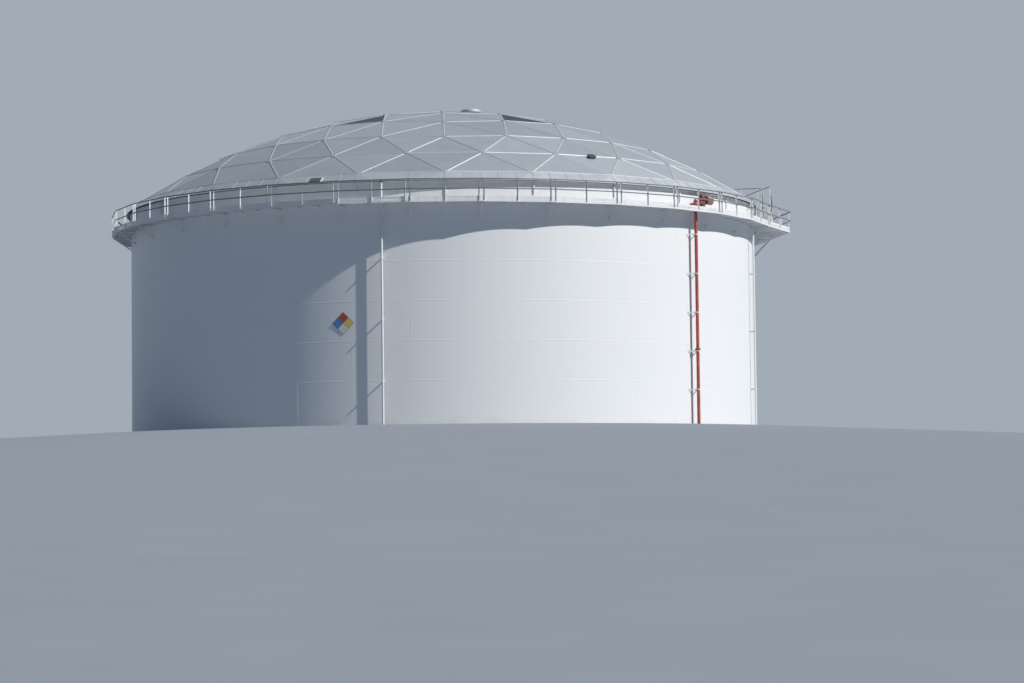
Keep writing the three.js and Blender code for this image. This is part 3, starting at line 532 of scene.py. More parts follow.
def buildWalkway():
    shift = degrees(brace["shift"] / tank["deckRadius"])
    for name, first, count in arcs:
        piece = Piece()
        for k in range(first, first + count):
            deckSection(piece, k, tank["deckRadius"], tank["deckRadius"])
            kneeBrace(piece, joint(k) + shift)
        piece.make("walkwayDeck_" + name, "white_paint", [white], ["walkway_" + name], bevel=0.002)
    piece = Piece()
    z = tank["deckZ"] - walk["thick"] - joist["drop"]
    for i, (near, far) in enumerate(zip(platformRadii, platformRadii[1:])):
        deckSection(piece, platformStart + i, near, far)
        azimuth = joint(platformStart + i) + shift
        kneeBrace(piece, azimuth)
        for turn, reach, end in ((0, near, joist["ends"][0]), (sectionAngle / 2, (near + far) / 2, joist["ends"][1])):
            piece.channel(offWall(azimuth + turn, walk["wallGap"], z), polar(azimuth + turn, reach - end, z),
                          *joist["size"])
    for azimuth in raker["azimuths"]:
        kneeBrace(piece, azimuth, walk["platformRadius"] - raker["inset"], raker["drop"], raker["leg"])
    piece.make("platformDeck", "white_paint", [white], ["gauge_platform"], bevel=0.002)


buildWalkway()
print("walkway built")

# Handrails: dark rails outside white angle posts, which are bolted to the outside of the fascia in
# pairs at the corners and singly in mid-stretch, with a toe board behind them. The strip under the
# board has sagged here and there: dips are by section and half
rail = {"height": 1.067, "mid": 0.588, "leg": 0.056, "thick": 0.006, "flange": 0.05, "midFlange": 0.001,
        "post": 0.06, "postThick": 0.006, "postGap": 0.001, "outset": 0.0333, "pair": 0.12, "endGap": 0.003,
        "near": -0.027, "foot": 0.004, "bolt": 0.012, "boltZ": 0.03, "boltAside": 0.008, "board": (-0.034, -0.0275),
        "boardLow": 0.076, "boardHigh": 0.2, "boardEnd": 0.018, "boardMiddle": 0.004, "stripLow": 0.01,
        "stripHigh": 0.064, "steps": 10, "dip": 0.008,
        "dips": {(-2, 0): 0.05, (-2, 1): 0.038, (24, 0): 0.05, (1, 1): 0.02, (-1, 0): 0.016}}


# A post of angle section: one leg along the rail, the other outwards from its right-hand edge
def railPost(piece, foot, run, height):
    out = run.cross(up)
    half, t, near = rail["post"] / 2, rail["postThick"], rail["near"]
    far = near + rail["post"]
    corners = [(-half, near), (half, near), (half, far), (half - t, far), (half - t, near + t), (-half, near + t)]
    piece.loft([[foot + run * x + out * y + up * z for x, y in corners] for z in (rail["foot"], height)])
    piece.bolt(foot - run * rail["boltAside"] + out * (near + t) + up * rail["boltZ"], out, rail["bolt"])


# A top rail of angle section turned inwards over the posts, or a flat one lower down
def railAlong(piece, points, outs, flange):
    t, leg = rail["thick"], rail["leg"]
    section = [(t, 0), (t, -leg), (0, -leg), (0, -t), (-flange, -t), (-flange, 0)]
    piece.loft([[p + out * y + up * z for y, z in section] for p, out in zip(points, outs)])


# An upright board behind the posts, each point with the height of its upper edge
def board(piece, points, out, low, tops):
    back, face = rail["board"]
    piece.loft([[p + out * y + up * z for y, z in ((back, low), (face, low), (face, top), (back, top))]
                for p, top in zip(points, tops)])


def handrail(name, corners, firstSection):
    rails, posts = Piece(), Piece()
    trim = degrees(rail["endGap"] / tank["deckRadius"])
    turns = [trim] + [0] * (len(corners) - 2) + [-trim]
    face = rail["outset"] + rail["near"] + rail["post"]
    outs = [outward(azimuth) for azimuth, radius in corners]
    for height, flange in ((rail["mid"], rail["midFlange"]), (rail["height"], rail["flange"])):
        points = [polar(azimuth + turn, radius + face, tank["deckZ"] + height)
                  for (azimuth, radius), turn in zip(corners, turns)]
        railAlong(rails, points, outs, flange)
    ends = [polar(azimuth, radius, tank["deckZ"]) for azimuth, radius in corners]
    shares = spread(0, 1, rail["steps"])
    for n, (a, b) in enumerate(zip(ends, ends[1:])):
        run = (b - a).normalized()
        out = run.cross(up)
        a, b = a + out * rail["outset"], b + out * rail["outset"]
        middle = (a + b) / 2
        for foot in (a + run * rail["pair"], middle, b - run * rail["pair"]):
            railPost(posts, foot, run, rail["height"] - rail["thick"] - rail["postGap"])
        end, gap = run * rail["boardEnd"], run * rail["boardMiddle"]
        for half, (start, stop) in enumerate(((a + end, middle - gap), (middle + gap, b - end))):
            board(posts, (start, stop), out, rail["boardLow"], [rail["boardHigh"]] * 2)
            dip = rail["dips"].get((firstSection + n, half), rail["dip"])
            board(posts, [start.lerp(stop, share) for share in shares], out, rail["stripLow"],
                  [rail["stripHigh"] - dip * sin(pi * share) ** 2 for share in shares])
    rails.make("guardRail_" + name, "galvanized_steel", [zinc])
    posts.make("guardPosts_" + name, "white_paint", [railWhite], ["handrail_" + name])


for arcName, first, count in arcs:
    handrail(arcName, [(joint(first + i), tank["deckRadius"]) for i in range(count + 1)], first)
handrail("platform", [(joint(platformStart + i), r) for i, r in enumerate(platformRadii)], platformStart)
print("handrails built")

# The dome: rings of nodes on a sphere, flat panels, battens over their joints, caps on the nodes
dome = {"edgeZ": 12.669, "rise": 5.006, "edgeRadius": 16.513, "rings": [1, 6, 12, 18, 24, 24, 24],
        "radii": [0, 3.25, 6.45, 9.70, 12.44, 14.52, 16.513], "squeeze": [0, 0, 0.935, 0.935, 0.982, 1, 1],
        "facets": 24, "panelDrop": 0.026, "panelThick": 0.008, "inset": 0.012, "crease": 0.18, "crown": 0.002}
batten = {"width": 0.085, "thick": 0.03, "start": 0.144, "flat": 0.35, "side": 0.5}
cap = {"size": 0.16, "profile": ((1, 0), (1, 0.03), (0.93, 0.036), (0.4, 0.04)), "edgeShare": 0.8, "sunk": 0.036,
       "sides": 20, "bolts": 8, "boltTurn": 20, "boltCircle": 0.72,
       "bolt": 0.012}
edgeBeam = {"drop": 0.026, "in": 0.02, "depth": 0.22, "width": 0.15}
shoe = {"turn": 1.3, "half": 0.06, "face": 0.02, "back": 0.13, "out": 0.038, "foot": (0.0005, 0.0245), "drop": 0.11}
facetAngle = 360 // dome["facets"]
sphereRadius = (dome["edgeRadius"] ** 2 + dome["rise"] ** 2) / (2 * dome["rise"])
sphereCentre = Vector((0, 0, dome["edgeZ"] + dome["rise"] - sphereRadius))


# A point on the dome's sphere, and the direction that points away from it there
def onDome(azimuth, radius):
    place = polar(azimuth, radius, sphereCentre.z + sqrt(sphereRadius ** 2 - radius ** 2))
    return place, (place - sphereCentre).normalized()


# Between the six ribs the inner rings are drawn in a little
def domeNode(ring, index):
    index %= dome["rings"][ring]
    azimuth = (index + (0.5 if ring == 5 else 0)) * 360 / dome["rings"][ring]
    onRib = abs(azimuth % 60 - 30) / 30 > 0.999
    return onDome(azimuth, dome["radii"][ring] * (1 if onRib else dome["squeeze"][ring]))


def domeTriangles():
    found = []
    for sector in range(6):
        for ring in range(1, 5):
            outer, inner = sector * ring, sector * (ring - 1)
            for i in range(ring):
                found.append([(ring - 1, inner + i), (ring, outer + i), (ring, outer + i + 1)])
                if i + 1 < ring:
                    found.append([(ring - 1, inner + i), (ring, outer + i + 1), (ring - 1, inner + i + 1)])
        for k in range(sector * 4, sector * 4 + 4):
            found += [[(4, k), (5, k), (4, k + 1)], [(4, k + 1), (5, k), (5, k + 1)],
                      [(5, k), (6, k + 1), (5, k + 1)], [(5, k), (6, k), (6, k + 1)]]
    return [[(ring, index % dome["rings"][ring]) for ring, index in triangle] for triangle in found]


def isSkylight(triangle):
    return sorted(ring for ring, index in triangle) == [2, 3, 3] and all(
        index % 2 == 1 for ring, index in triangle if ring == 2)


def domePanel(piece, corners):
    normal = (corners[1] - corners[0]).cross(corners[2] - corners[0]).normalized()
    if normal.z < 0:
        normal = -normal
    middle = sum(corners, Vector()) / 3
    drop = dome["panelDrop"]
    piece.loft([[p + (middle - p).normalized() * inset - normal * depth for p in corners] for depth, inset in (
        (drop + dome["panelThick"], dome["inset"]), (drop, dome["inset"]), (drop - dome["crown"], dome["crease"]))])


def domeBatten(piece, first, second):
    a, b = domeNode(*first)[0], domeNode(*second)[0]
    run = (b - a).normalized()
    over = ((a + b) / 2 - sphereCentre).normalized()
    x, y = batten["width"] / 2, batten["thick"] / 2
    flat, side = x * batten["flat"], -y * batten["side"]
    piece.section(a + run * batten["start"] - over * y, b - run * batten["start"] - over * y,
                  [(-x, -y), (x, -y), (x, side), (flat, y), (-flat, y), (-x, side)], over)


def domeCap(piece, ring, index):
    place, over = domeNode(ring, index)
    size = cap["size"] * (cap["edgeShare"] if ring == 6 else 1)
    profile = [(size * share, height) for share, height in cap["profile"]]
    piece.turned(place - over * cap["sunk"], over, profile, cap["sides"])
    side = over.orthogonal().normalized()
    for j in range(cap["bolts"]):
        turn = Matrix.Rotation(radians(360 / cap["bolts"] * j + cap["boltTurn"]), 3, over)
        piece.bolt(place + turn @ side * size * cap["boltCircle"], over, cap["bolt"])


def buildEdgeBeam():
    piece = Piece()
    z = dome["edgeZ"] - edgeBeam["drop"]
    r = dome["edgeRadius"] - edgeBeam["in"]
    inner, low = r - edgeBeam["width"], z - edgeBeam["depth"]
    piece.swept(range(0, 360, facetAngle), [(r, z), (r, low), (inner, low), (inner, z)])
    back, face, out, top = r - shoe["back"], r - shoe["face"], tank["radius"] + shoe["out"], z - shoe["drop"]
    foot, sole = (tank["height"] + lift for lift in shoe["foot"])
    profile = [(back, foot), (out, foot), (out, sole), (face, sole), (face, top), (back, top)]
    for azimuth in range(0, 360, facetAngle):
        a = azimuth + shoe["turn"]
        piece.loft([[polar(a, q, h) + along(a) * x for q, h in profile] for x in (-shoe["half"], shoe["half"])])
    piece.make("domeEdgeBeam", "mill_aluminium", [hubMetal])


def buildDome():
    panels, lights, battens, caps = Piece(), Piece(), Piece(), Piece()
    edges = set()
    for triangle in domeTriangles():
        piece = lights if isSkylight(triangle) else panels
        piece.tone = random.random()
        domePanel(piece, [domeNode(*key)[0] for key in triangle])
        for i in range(3):
            edges.add(tuple(sorted((triangle[i], triangle[(i + 1) % 3]))))
    for first, second in sorted(edges):
        battens.tone = 0.3 + 0.4 * random.random()
        domeBatten(battens, first, second)
    for ring, count in enumerate(dome["rings"]):
        for index in range(count):
            caps.tone = random.random()
            domeCap(caps, ring, index)
    panels.make("domePanels", "mill_aluminium", [panelMetal], ["dome_sector_%d" % i for i in range(1, 7)])
    lights.make("domeSkylights", "mill_aluminium", [glaze])
    battens.make("domeBattens", "mill_aluminium", [battenMetal])
    caps.make("domeCaps", "mill_aluminium", [hubMetal])
    buildEdgeBeam()


buildDome()
print("dome built")

# The skirt between the dome and the rim: flat sheets that lap, a drip edge, and a dark hatch
skirt = {"top": (0.026, 0.004), "overhang": 0.25, "bottomZ": 12.222, "slope": (0.74, 0.68), "thick": 0.004,
         "laps": 5, "lapLift": 0.003, "seam": (0.022, 0.012), "seamEnds": (0.04, 0.99), "drip": (0.006, 0.034),
         "dripDrop": 0.012, "topStrip": (0.09, 0.01), "topLift": 0.006}
skirtHatch = {"azimuth": -22.3, "low": 0.12, "high": 0.6, "width": 0.6, "depth": 0.035, "box": 0.033,
              "lidStart": 0.04, "lidShare": 0.94, "lidThick": 0.006, "flapOut": 0.03, "flapLift": 0.02,
              "flap": (0.05, 0.036)}


# The skirt's top runs straight from corner to corner of the dome, its foot is round
def skirtPoint(facet, share, height):
    out, lift = skirt["top"]
    topR, z, lowR = dome["edgeRadius"] + out, dome["edgeZ"] + lift, tank["radius"] + skirt["overhang"]
    top = polar(facet * facetAngle, topR, z).lerp(polar((facet + 1) * facetAngle, topR, z), share)
    return top.lerp(polar((facet + share) * facetAngle, lowR, skirt["bottomZ"]), height)


def skirtOver(azimuth):
    out, lift = skirt["slope"]
    return (outward(azimuth) * out + up * lift).normalized()


def buildSkirt():
    piece = Piece()
    start, end = skirt["seamEnds"]
    for facet in range(dome["facets"]):
        over = skirtOver((facet + 0.5) * facetAngle)
        for i in range(skirt["laps"]):
            piece.tone = 0.5 + 0.3 * random.random()
            s0, s1 = i / skirt["laps"], (i + 1) / skirt["laps"]
            sheet = [skirtPoint(facet, *spot) for spot in ((s0, 0), (s1, 0), (s1, 1), (s0, 1))]
            lift = skirt["lapLift"] * (i % 2)
            piece.loft([[p + over * rise for p in sheet] for rise in (lift - skirt["thick"], lift)])
            piece.tone = 0.0
            piece.bar(skirtPoint(facet, s0, start), skirtPoint(facet, s0, end), *skirt["seam"], over,
                      skirt["seam"][1] / 2)
            # Drip edge in the lightest tone: painted highlight for its sunlit lower edge
            piece.tone = 0.9
            piece.bar(sheet[3], sheet[2], *skirt["drip"], up, -skirt["dripDrop"])
        piece.tone = 0.5
        piece.bar(skirtPoint(facet, 0, 0), skirtPoint(facet, 1, 0), *skirt["topStrip"], over, skirt["topLift"])
    piece.make("domeSkirt", "mill_aluminium", [skirtMetal], ["dome_flashing_%d" % i for i in range(1, 5)])


def buildSkirtHatch():
    azimuth, width, depth = skirtHatch["azimuth"], skirtHatch["width"], skirtHatch["depth"]
    facet = azimuth // facetAngle
    foot, head = (skirtPoint(facet, azimuth / facetAngle - facet, 1 - way)
                  for way in (skirtHatch["low"], skirtHatch["high"]))
    over = skirtOver(azimuth)
    box = Piece()
    box.bar(foot, head, width, skirtHatch["box"], over, depth / 2)
    box.bar(foot.lerp(head, skirtHatch["lidStart"]), head, width * skirtHatch["lidShare"], skirtHatch["lidThick"],
            over, depth)
    box.make("skirtHatch", "galvanized_steel", [darkZinc], bevel=0.004)
    flap = Piece()
    aside = along(azimuth) * (width / 2 + skirtHatch["flapOut"])
    flap.bar(foot + aside, head + aside, *skirtHatch["flap"], over, skirtHatch["flapLift"])
    flap.make("skirtHatchSide", "white_paint", [white], bevel=0.003)


buildSkirt()
buildSkirtHatch()
print("skirt built")

# Mushroom vent near the crown: a neck, its flashing, a cowl on stays and a knob
vent = {"azimuth": 88, "radius": 1.56, "neck": ((0.42, -0.06), (0.42, 0.17), (0.4, 0.2), (0.4, 0.24)),
        "flashing": ((0.49, -0.055), (0.49, -0.02), (0.42, -0.012)),
        "cowl": ((0.55, 0.21), (0.55, 0.29), (0.5115, 0.335), (0.44, 0.37), (0.33, 0.4), (0.165, 0.42), (0, 0.425)),
        "knob": ((0.05, 0.42), (0.05, 0.45), (0.03, 0.46)), "stays": 12, "stayRadius": 0.46, "stayEnds": (0.15, 0.24),
        "stay": (0.02, 0.006)}
# Small hatch low on the dome: a box, its lid and a handle
hatch = {"azimuth": 30.3, "radius": 14.66, "width": 0.36, "length": 0.26, "depth": 0.12, "lidOut": 0.02,
         "lidThick": 0.018, "lidLift": 0.07, "handle": (0.02, 0.03), "handleHalf": 0.07, "handleLift": 0.09}


def buildVent():
    place = onDome(vent["azimuth"], vent["radius"])[0]
    piece = Piece()
    piece.tone = 0.9
    for part, sides in (("neck", 36), ("flashing", 36), ("cowl", 36), ("knob", 12)):
        piece.turned(place, up, vent[part], sides)
    for azimuth in spread(0, 360, vent["stays"])[:-1]:
        low, high = (place + polar(azimuth, vent["stayRadius"], z) for z in vent["stayEnds"])
        piece.bar(low, high, *vent["stay"], along(azimuth))
    piece.make("crownVent", "mill_aluminium", [battenMetal], ["centre_vent"])


def buildHatch():
    place, over = onDome(hatch["azimuth"], hatch["radius"])
    run = outward(hatch["azimuth"])
    flat = (run - over * run.dot(over)).normalized()
    half, wide, out = hatch["length"] / 2, hatch["width"], hatch["lidOut"]
    grip, gripHeight = hatch["handle"]
    piece = Piece()
    for reach, width, height, rise in ((half, wide, hatch["depth"], 0.0),
                                       (half + out, wide + 2 * out, hatch["lidThick"], hatch["lidLift"]),
                                       (hatch["handleHalf"], grip, gripHeight, hatch["handleLift"])):
        piece.bar(place - flat * reach, place + flat * reach, width, height, over, rise)
    piece.make("domeHatch", "galvanized_steel", [darkZinc], ["dome_hatch"], bevel=0.003)


buildVent()
buildHatch()
print("fittings built")

# The stair: two flights with a landing, on brackets from the shell
stair = {"inner": 17.92, "width": 0.8, "treads": 55, "run": 0.232, "depth": 0.25, "landing": 28, "landingAngle": 3.4,
         "gap": 0.01}
stringer = {"web": 0.01, "reach": 0.057, "depth": 0.3, "above": 0.04, "thick": 0.012}
bracket = {"drop": 0.03, "fall": 0.95, "arm": (0.05, 0.08, 0.008), "strut": (0.06, 0.008), "strutIn": 0.05,
           "pad": (0.16, 0.22, 0.012), "padOut": 0.006, "wallGap": 0.01}
stairRail = {"height": 0.95, "tube": 0.022, "drop": 0.024, "outset": 0.023, "posts": 7, "end": 0.08, "leg": 0.045,
             "thick": 0.007, "foot": 0.15, "lowest": 0.001, "head": 0.03}
# Each bar of a tread or landing: how deep its middle lies, its width and its height
grating = {"edge": (0.017, 0.006, 0.034), "bar": (0.014, 0.006, 0.026), "tie": (0.008, 0.008, 0.012),
           "nosing": (0.003, 0.04, 0.008), "end": 0.012, "tieEnd": 0.05, "bars": 6, "ties": 8}
stairOuter = stair["inner"] + stair["width"]
stairTop = joint(10)
treadAngle = degrees(stair["run"] / (stair["inner"] + stair["width"] / 2))
treadRise = tank["deckZ"] / (stair["treads"] + 1)
landingStart = stairTop + (stair["landing"] - 1) * treadAngle
landingEnd = landingStart + stair["landingAngle"]
stairFoot = landingEnd + (stair["treads"] + 2 - stair["landing"]) * treadAngle


def pitch(azimuth):
    if azimuth <= landingStart:
        return tank["deckZ"] - (azimuth - stairTop) / treadAngle * treadRise
    below = max(0.0, (azimuth - landingEnd) / treadAngle)
    return tank["deckZ"] - (stair["landing"] - 1 + below) * treadRise


def bends(start, end):
    first = landingEnd if end > landingEnd else start
    count = max(1, round((end - first) / (2 * treadAngle)))
    return ([start] if first > start else []) + spread(first, end, count)


def tread(piece, a, b, z):
    inner, outer = stair["inner"] + grating["end"], stairOuter - grating["end"]

    def across(azimuth, kind):
        drop, width, height = grating[kind]
        piece.bar(polar(azimuth, inner, z - drop), polar(azimuth, outer, z - drop), width, height)

    across(a, "edge")
    across(b, "edge")
    for azimuth in spread(a, b, grating["bars"])[1:-1]:
        across(azimuth, "bar")
    drop, width, height = grating["tie"]
    for r in spread(inner + grating["tieEnd"], outer - grating["tieEnd"], grating["ties"]):
        piece.bar(polar(a, r, z - drop), polar(b, r, z - drop), width, height)
    across(b, "nosing")


def buildStringer(piece, radius, facing, azimuths):
    inside, lip, t = radius + stringer["web"] * facing, radius + stringer["reach"] * facing, stringer["thick"]
    rows = []
    for azimuth in azimuths:
        top = pitch(azimuth) + stringer["above"]
        low = max(top - stringer["depth"], 0)
        corners = [(radius, top), (radius, low), (lip, low), (lip, low + t), (inside, low + t), (inside, top - t),
                   (lip, top - t), (lip, top)]
        rows.append([polar(azimuth, r, z) for r, z in corners])
    piece.loft(rows)


def stairBracket(piece, azimuth):
    z = pitch(azimuth) + stringer["above"] - stringer["depth"] - bracket["drop"]
    low, gap = z - bracket["fall"], bracket["wallGap"]
    piece.channel(offWall(azimuth, gap, z), polar(azimuth, stairOuter, z), *bracket["arm"])
    head = polar(azimuth, stair["inner"] - bracket["strutIn"], z - bracket["drop"])
    piece.angle(head, offWall(azimuth, gap, low), *bracket["strut"], outward(azimuth))
    for height in (z, low):
        piece.pad(azimuth, offWall(azimuth, bracket["padOut"], height), bracket["pad"])


def stairGuard(name, side, radius, start, end):
    guard = Piece()
    for height in (stairRail["height"], stairRail["height"] / 2):
        path = [polar(t, radius, pitch(t) + height - stairRail["drop"]) for t in bends(start, end)]
        guard.tube(path, stairRail["tube"], 10)
    for t in spread(start + stairRail["end"], end - stairRail["end"], stairRail["posts"]):
        corner = (along(t) + outward(t)) * stairRail["tube"]
        foot = polar(t, radius, max(pitch(t) - stairRail["foot"], stairRail["lowest"]))
        head = polar(t, radius, pitch(t) + stairRail["height"] - stairRail["head"])
        guard.angle(foot - corner, head - corner, stairRail["leg"], stairRail["thick"], outward(t))
    guard.make("stairGuard_%s_%s" % (name, side), "white_paint", [railWhite], ["stair_rail_%s_%s" % (name, side)])


def flight(name, start, end, treads, brackets):
    piece = Piece()
    for radius, facing in ((stair["inner"], 1), (stairOuter, -1)):
        buildStringer(piece, radius, facing, bends(start, end))
    for a, b, z in treads:
        tread(piece, a, b, z)
    for azimuth in brackets:
        stairBracket(piece, azimuth)
    piece.make("stairFlight_" + name, "white_paint", [railWhite], ["stair_%s_flight" % name])
    stairGuard(name, "inner", stair["inner"] - stairRail["outset"], start, end)
    stairGuard(name, "outer", stairOuter + stairRail["outset"], start, end)


def buildStair():
    reach, gap, landing = treadAngle * stair["depth"] / stair["run"], stair["gap"], stair["landing"]
    upper = []
    for n in range(1, landing):
        edge = stairTop + n * treadAngle
        upper.append((max(edge - reach, stairTop + gap), edge - gap, tank["deckZ"] - n * treadRise))
    flight("upper", stairTop + gap / 10, landingStart - gap / 10, upper,
           [stairTop + n * treadAngle for n in (9, 18, 26)])
    lower = []
    for n in range(landing, stair["treads"] + 1):
        edge = landingEnd + (n + 1 - landing) * treadAngle
        lower.append((edge - reach, edge, tank["deckZ"] - n * treadRise))
    parts = spread(landingStart + gap, landingEnd, 4)
    lower += [(a, b, pitch(landingEnd)) for a, b in zip(parts, parts[1:])]
    flight("lower", landingStart + gap / 10, stairFoot, lower, [landingEnd + n * treadAngle for n in (1, 10, 19)])


buildStair()
print("stair built")

# The stile over the rim: landing, three treads along the walkway, tube guards
stile = {"near": 76.4, "far": 78.6, "rise": 0.04, "inner": 17.27, "outer": 17.75, "rises": 4, "run": 0.29,
         "rail": 0.95, "midDrop": 0.5, "toe": 17.02, "toePost": 17.06, "inset": 0.02, "guardPost": 16.177,
         "guardFoot": 0.18, "guardEnd": 15.86, "guardFall": 0.45, "tube": 0.022, "sides": 10, "gap": 0.001,
         "stringer": (0.012, 0.26), "stringerBack": 0.04, "pitch": 0.035,
         "treadGap": 0.005}
# Its plates' bars: how deep the middle lies, width and height
plateBars = {"cross": (0.016, 0.006, 0.03), "long": (0.014, 0.008, 0.024), "edge": 0.01, "count": 6}


def buildStile():
    piece, guard = Piece(), Piece()
    inner, outer, toe, deck = stile["inner"], stile["outer"], stile["toe"], tank["deckZ"] + stile["gap"]
    landing = tank["height"] + stile["rise"]
    top = landing + stile["rail"]
    down = along(stile["far"])
    length = radians(stile["far"] - stile["near"]) * outer
    near = stile["inset"] - length
    rise = (landing - tank["deckZ"]) / stile["rises"]
    reach, drop = (stile["rises"] - 0.5) * stile["run"], (stile["rises"] - 0.5) * rise

    def at(radius, run, z):
        return polar(stile["far"], radius, z) + down * run

    def pipe(target, *ends):
        target.tube([at(*end) for end in ends], stile["tube"], stile["sides"])

    def plate(low, high, a, b, z):
        depth, width, height = plateBars["cross"]
        for run in spread(a, b, max(3, round((b - a) / stile["pitch"]))):
            piece.bar(at(low, run, z - depth), at(high, run, z - depth), width, height)
        depth, width, height = plateBars["long"]
        for r in spread(low + plateBars["edge"], high - plateBars["edge"], plateBars["count"]):
            piece.bar(at(r, a, z - depth), at(r, b, z - depth), width, height)

    plate(toe, outer, -length, 0, landing)
    side = stile["treadGap"]
    for i in range(1, stile["rises"]):
        plate(inner + side, outer - side, (i - 1) * stile["run"], i * stile["run"], landing - i * rise)
    for radius in (inner, outer):
        head = at(radius, -stile["stringerBack"], landing - rise / 2)
        piece.bar(head, at(radius, reach, landing - rise / 2 - drop), *stile["stringer"])
        pipe(piece, (radius, reach, deck), (radius, reach, top - drop))
        pipe(piece, (radius, 0, deck), (radius, 0, top))
        for z in (top, top - stile["rail"] / 2):
            pipe(guard, (radius, 0, z), (radius, reach, z - drop))
    for radius, run, head in ((stile["toePost"], near, landing), (stile["toePost"], 0, top),
                              (outer, near, top - stile["tube"])):
        pipe(piece, (radius, run, deck), (radius, run, head))
    for z in (top, top - stile["midDrop"]):
        pipe(guard, (outer, near, z), (outer, 0, z))
    pipe(guard, (inner, 0, top), (stile["guardEnd"], 0, top))
    pipe(piece, (stile["guardPost"], 0, dome["edgeZ"] + stile["guardFoot"]), (stile["guardPost"], 0, top))
    pipe(guard, (outer, near, top), (dome["edgeRadius"], near, top - stile["guardFall"]))
    piece.make("rimStile", "white_paint", [railWhite], ["crossover_stile"])
    guard.make("stileRails", "galvanized_steel", [zinc])


buildStile()
print("stile built")

# Service pipes on arms, each with an elbow into the wall under a blind flange
drains = {"radius": 0.057, "standOff": 0.265, "azimuths": (-10.61, 72.9, 169.55), "topDrop": 0.02, "pipeDrop": 0.03,
          "bend": 0.16, "bendDrop": 0.235, "outletDrop": 0.075, "outletThin": 0.006, "flange": (0.005, 0.03),
          "flanges": ((-0.045, -0.02), (-0.012, 0.03)), "blind": (0.8, 0.02, 0.034, 0.036), "bolts": 8,
          "boltCircle": 0.018, "boltEnds": (0.055, 0.034), "bolt": 0.008, "arms": (2.41, 5.44, 8.47), "arm": 0.41,
          "armStart": 0.004, "armSize": (0.02, 0.07), "pad": (0.15, 0.18, 0.01), "padOut": 0.006, "clampLift": 0.03,
          "clampOut": 0.008, "clamp": 0.009, "welds": (3.1, 6.2, 9.3), "weld": (0.005, 0.006, 0.012)}


def drainPipe(piece, azimuth):
    r, q, bend = tank["radius"] + drains["standOff"], drains["radius"], drains["bend"]
    head = polar(azimuth, r, tank["height"] - drains["topDrop"])
    piece.tube([polar(azimuth, r, 0), head - up * drains["pipeDrop"]], q, 24)
    elbow = [polar(azimuth, r - bend + bend * cos(t), head.z - drains["bendDrop"] + bend * sin(t))
             for t in spread(0, pi / 2, 6)]
    outlet = offWall(azimuth, tank["clear"], head.z - drains["outletDrop"])
    piece.tube(elbow + [outlet], q - drains["outletThin"], 20, along(azimuth))
    piece.look = 1
    inner, outer = (q + edge for edge in drains["flange"])
    for low, high in drains["flanges"]:
        piece.collar(head, up, inner, outer, low, high)
    share, low, edge, crown = drains["blind"]
    piece.turned(head, up, [(q * share, low), (q * share, edge), (0.0, crown)])
    below, above = drains["boltEnds"]
    for bolt in spread(0, 360, drains["bolts"])[:-1]:
        place = head + polar(bolt, q + drains["boltCircle"], 0)
        piece.tube([place - up * below, place + up * above], drains["bolt"], 6)
    piece.look = 0


def buildPipes():
    q = drains["radius"]
    thick, flat, wide = drains["weld"]
    for n, azimuth in enumerate(drains["azimuths"]):
        piece = Piece()
        drainPipe(piece, azimuth)
        r = tank["radius"] + drains["standOff"]
        for z in drains["arms"]:
            piece.bar(offWall(azimuth, drains["armStart"], z), offWall(azimuth, drains["arm"], z), *drains["armSize"])
            piece.pad(azimuth, offWall(azimuth, drains["padOut"], z), drains["pad"])
            clamp = circle(polar(azimuth, r, z + drains["clampLift"]), -outward(azimuth), -along(azimuth),
                           q + drains["clampOut"], 20)
            piece.tube(clamp + clamp[:1], drains["clamp"], 6)
        for z in drains["welds"]:
            piece.turned(polar(azimuth, r, z), up, [(q, -wide), (q + thick, -flat), (q + thick, flat), (q, wide)])
        piece.make("servicePipe_%d" % (n + 1), "white_paint", [white, darkZinc], ["drain_pipe_%d" % (n + 1)])


# Foam risers on forked brackets: a pipe with two pairs of flanges, a pot on its run, a chamber beside it
risers = {"radius": 0.084, "standOff": 0.335, "azimuths": {"front": 48, "rear": 228}, "head": 0.33, "run": 0.15,
          "runEnd": 0.6, "bend": 0.16, "flanges": ((4.14, 0.14), (11.465, 0.15)), "vent": (0.25, 0.18, 0.02),
          "ventCap": ((0.07, 0), (0.07, 0.015), (0.0, 0.018)), "tieDrop": 0.09, "tie": 0.06}
pot = {"across": 0.52, "drop": 0.02, "sides": 28, "bolts": 12, "boltCircle": 0.18, "bolt": 0.012, "boltDrop": 0.01,
       "body": ((0.19, -0.03), (0.19, 0.0), (0.165, 0.004), (0.165, 0.5), (0.15, 0.56), (0.1, 0.6), (0.0, 0.61)),
       "plateDrop": 0.055, "plate": ((0.2, 0), (0.2, 0.022)), "neck": (0.6, 0.84, 0.1)}
chamber = {"across": 0.8, "rise": 0.3, "sides": 32, "bands": (0.05, 0.44), "band": (0.215, 0.226, 0.012),
           "body": ((0.13, 0), (0.215, 0.02), (0.215, 0.46), (0.2, 0.49), (0.0, 0.495))}
fork = {"heights": (2.1, 4.05, 6.0, 7.97, 9.96), "spread": 0.336, "size": (0.012, 0.06), "pad": (0.09, 0.14, 0.01),
        "padOut": 0.006, "gap": 0.006, "collar": (0.001, 0.009, 0.03)}
flanges = {"gap": 0.014, "half": 0.012, "neck": ((0.72, 0.014), (0.66, 0.05)), "bolts": 8, "boltCircle": 0.84,
           "bolt": 0.011, "boltReach": 0.05}


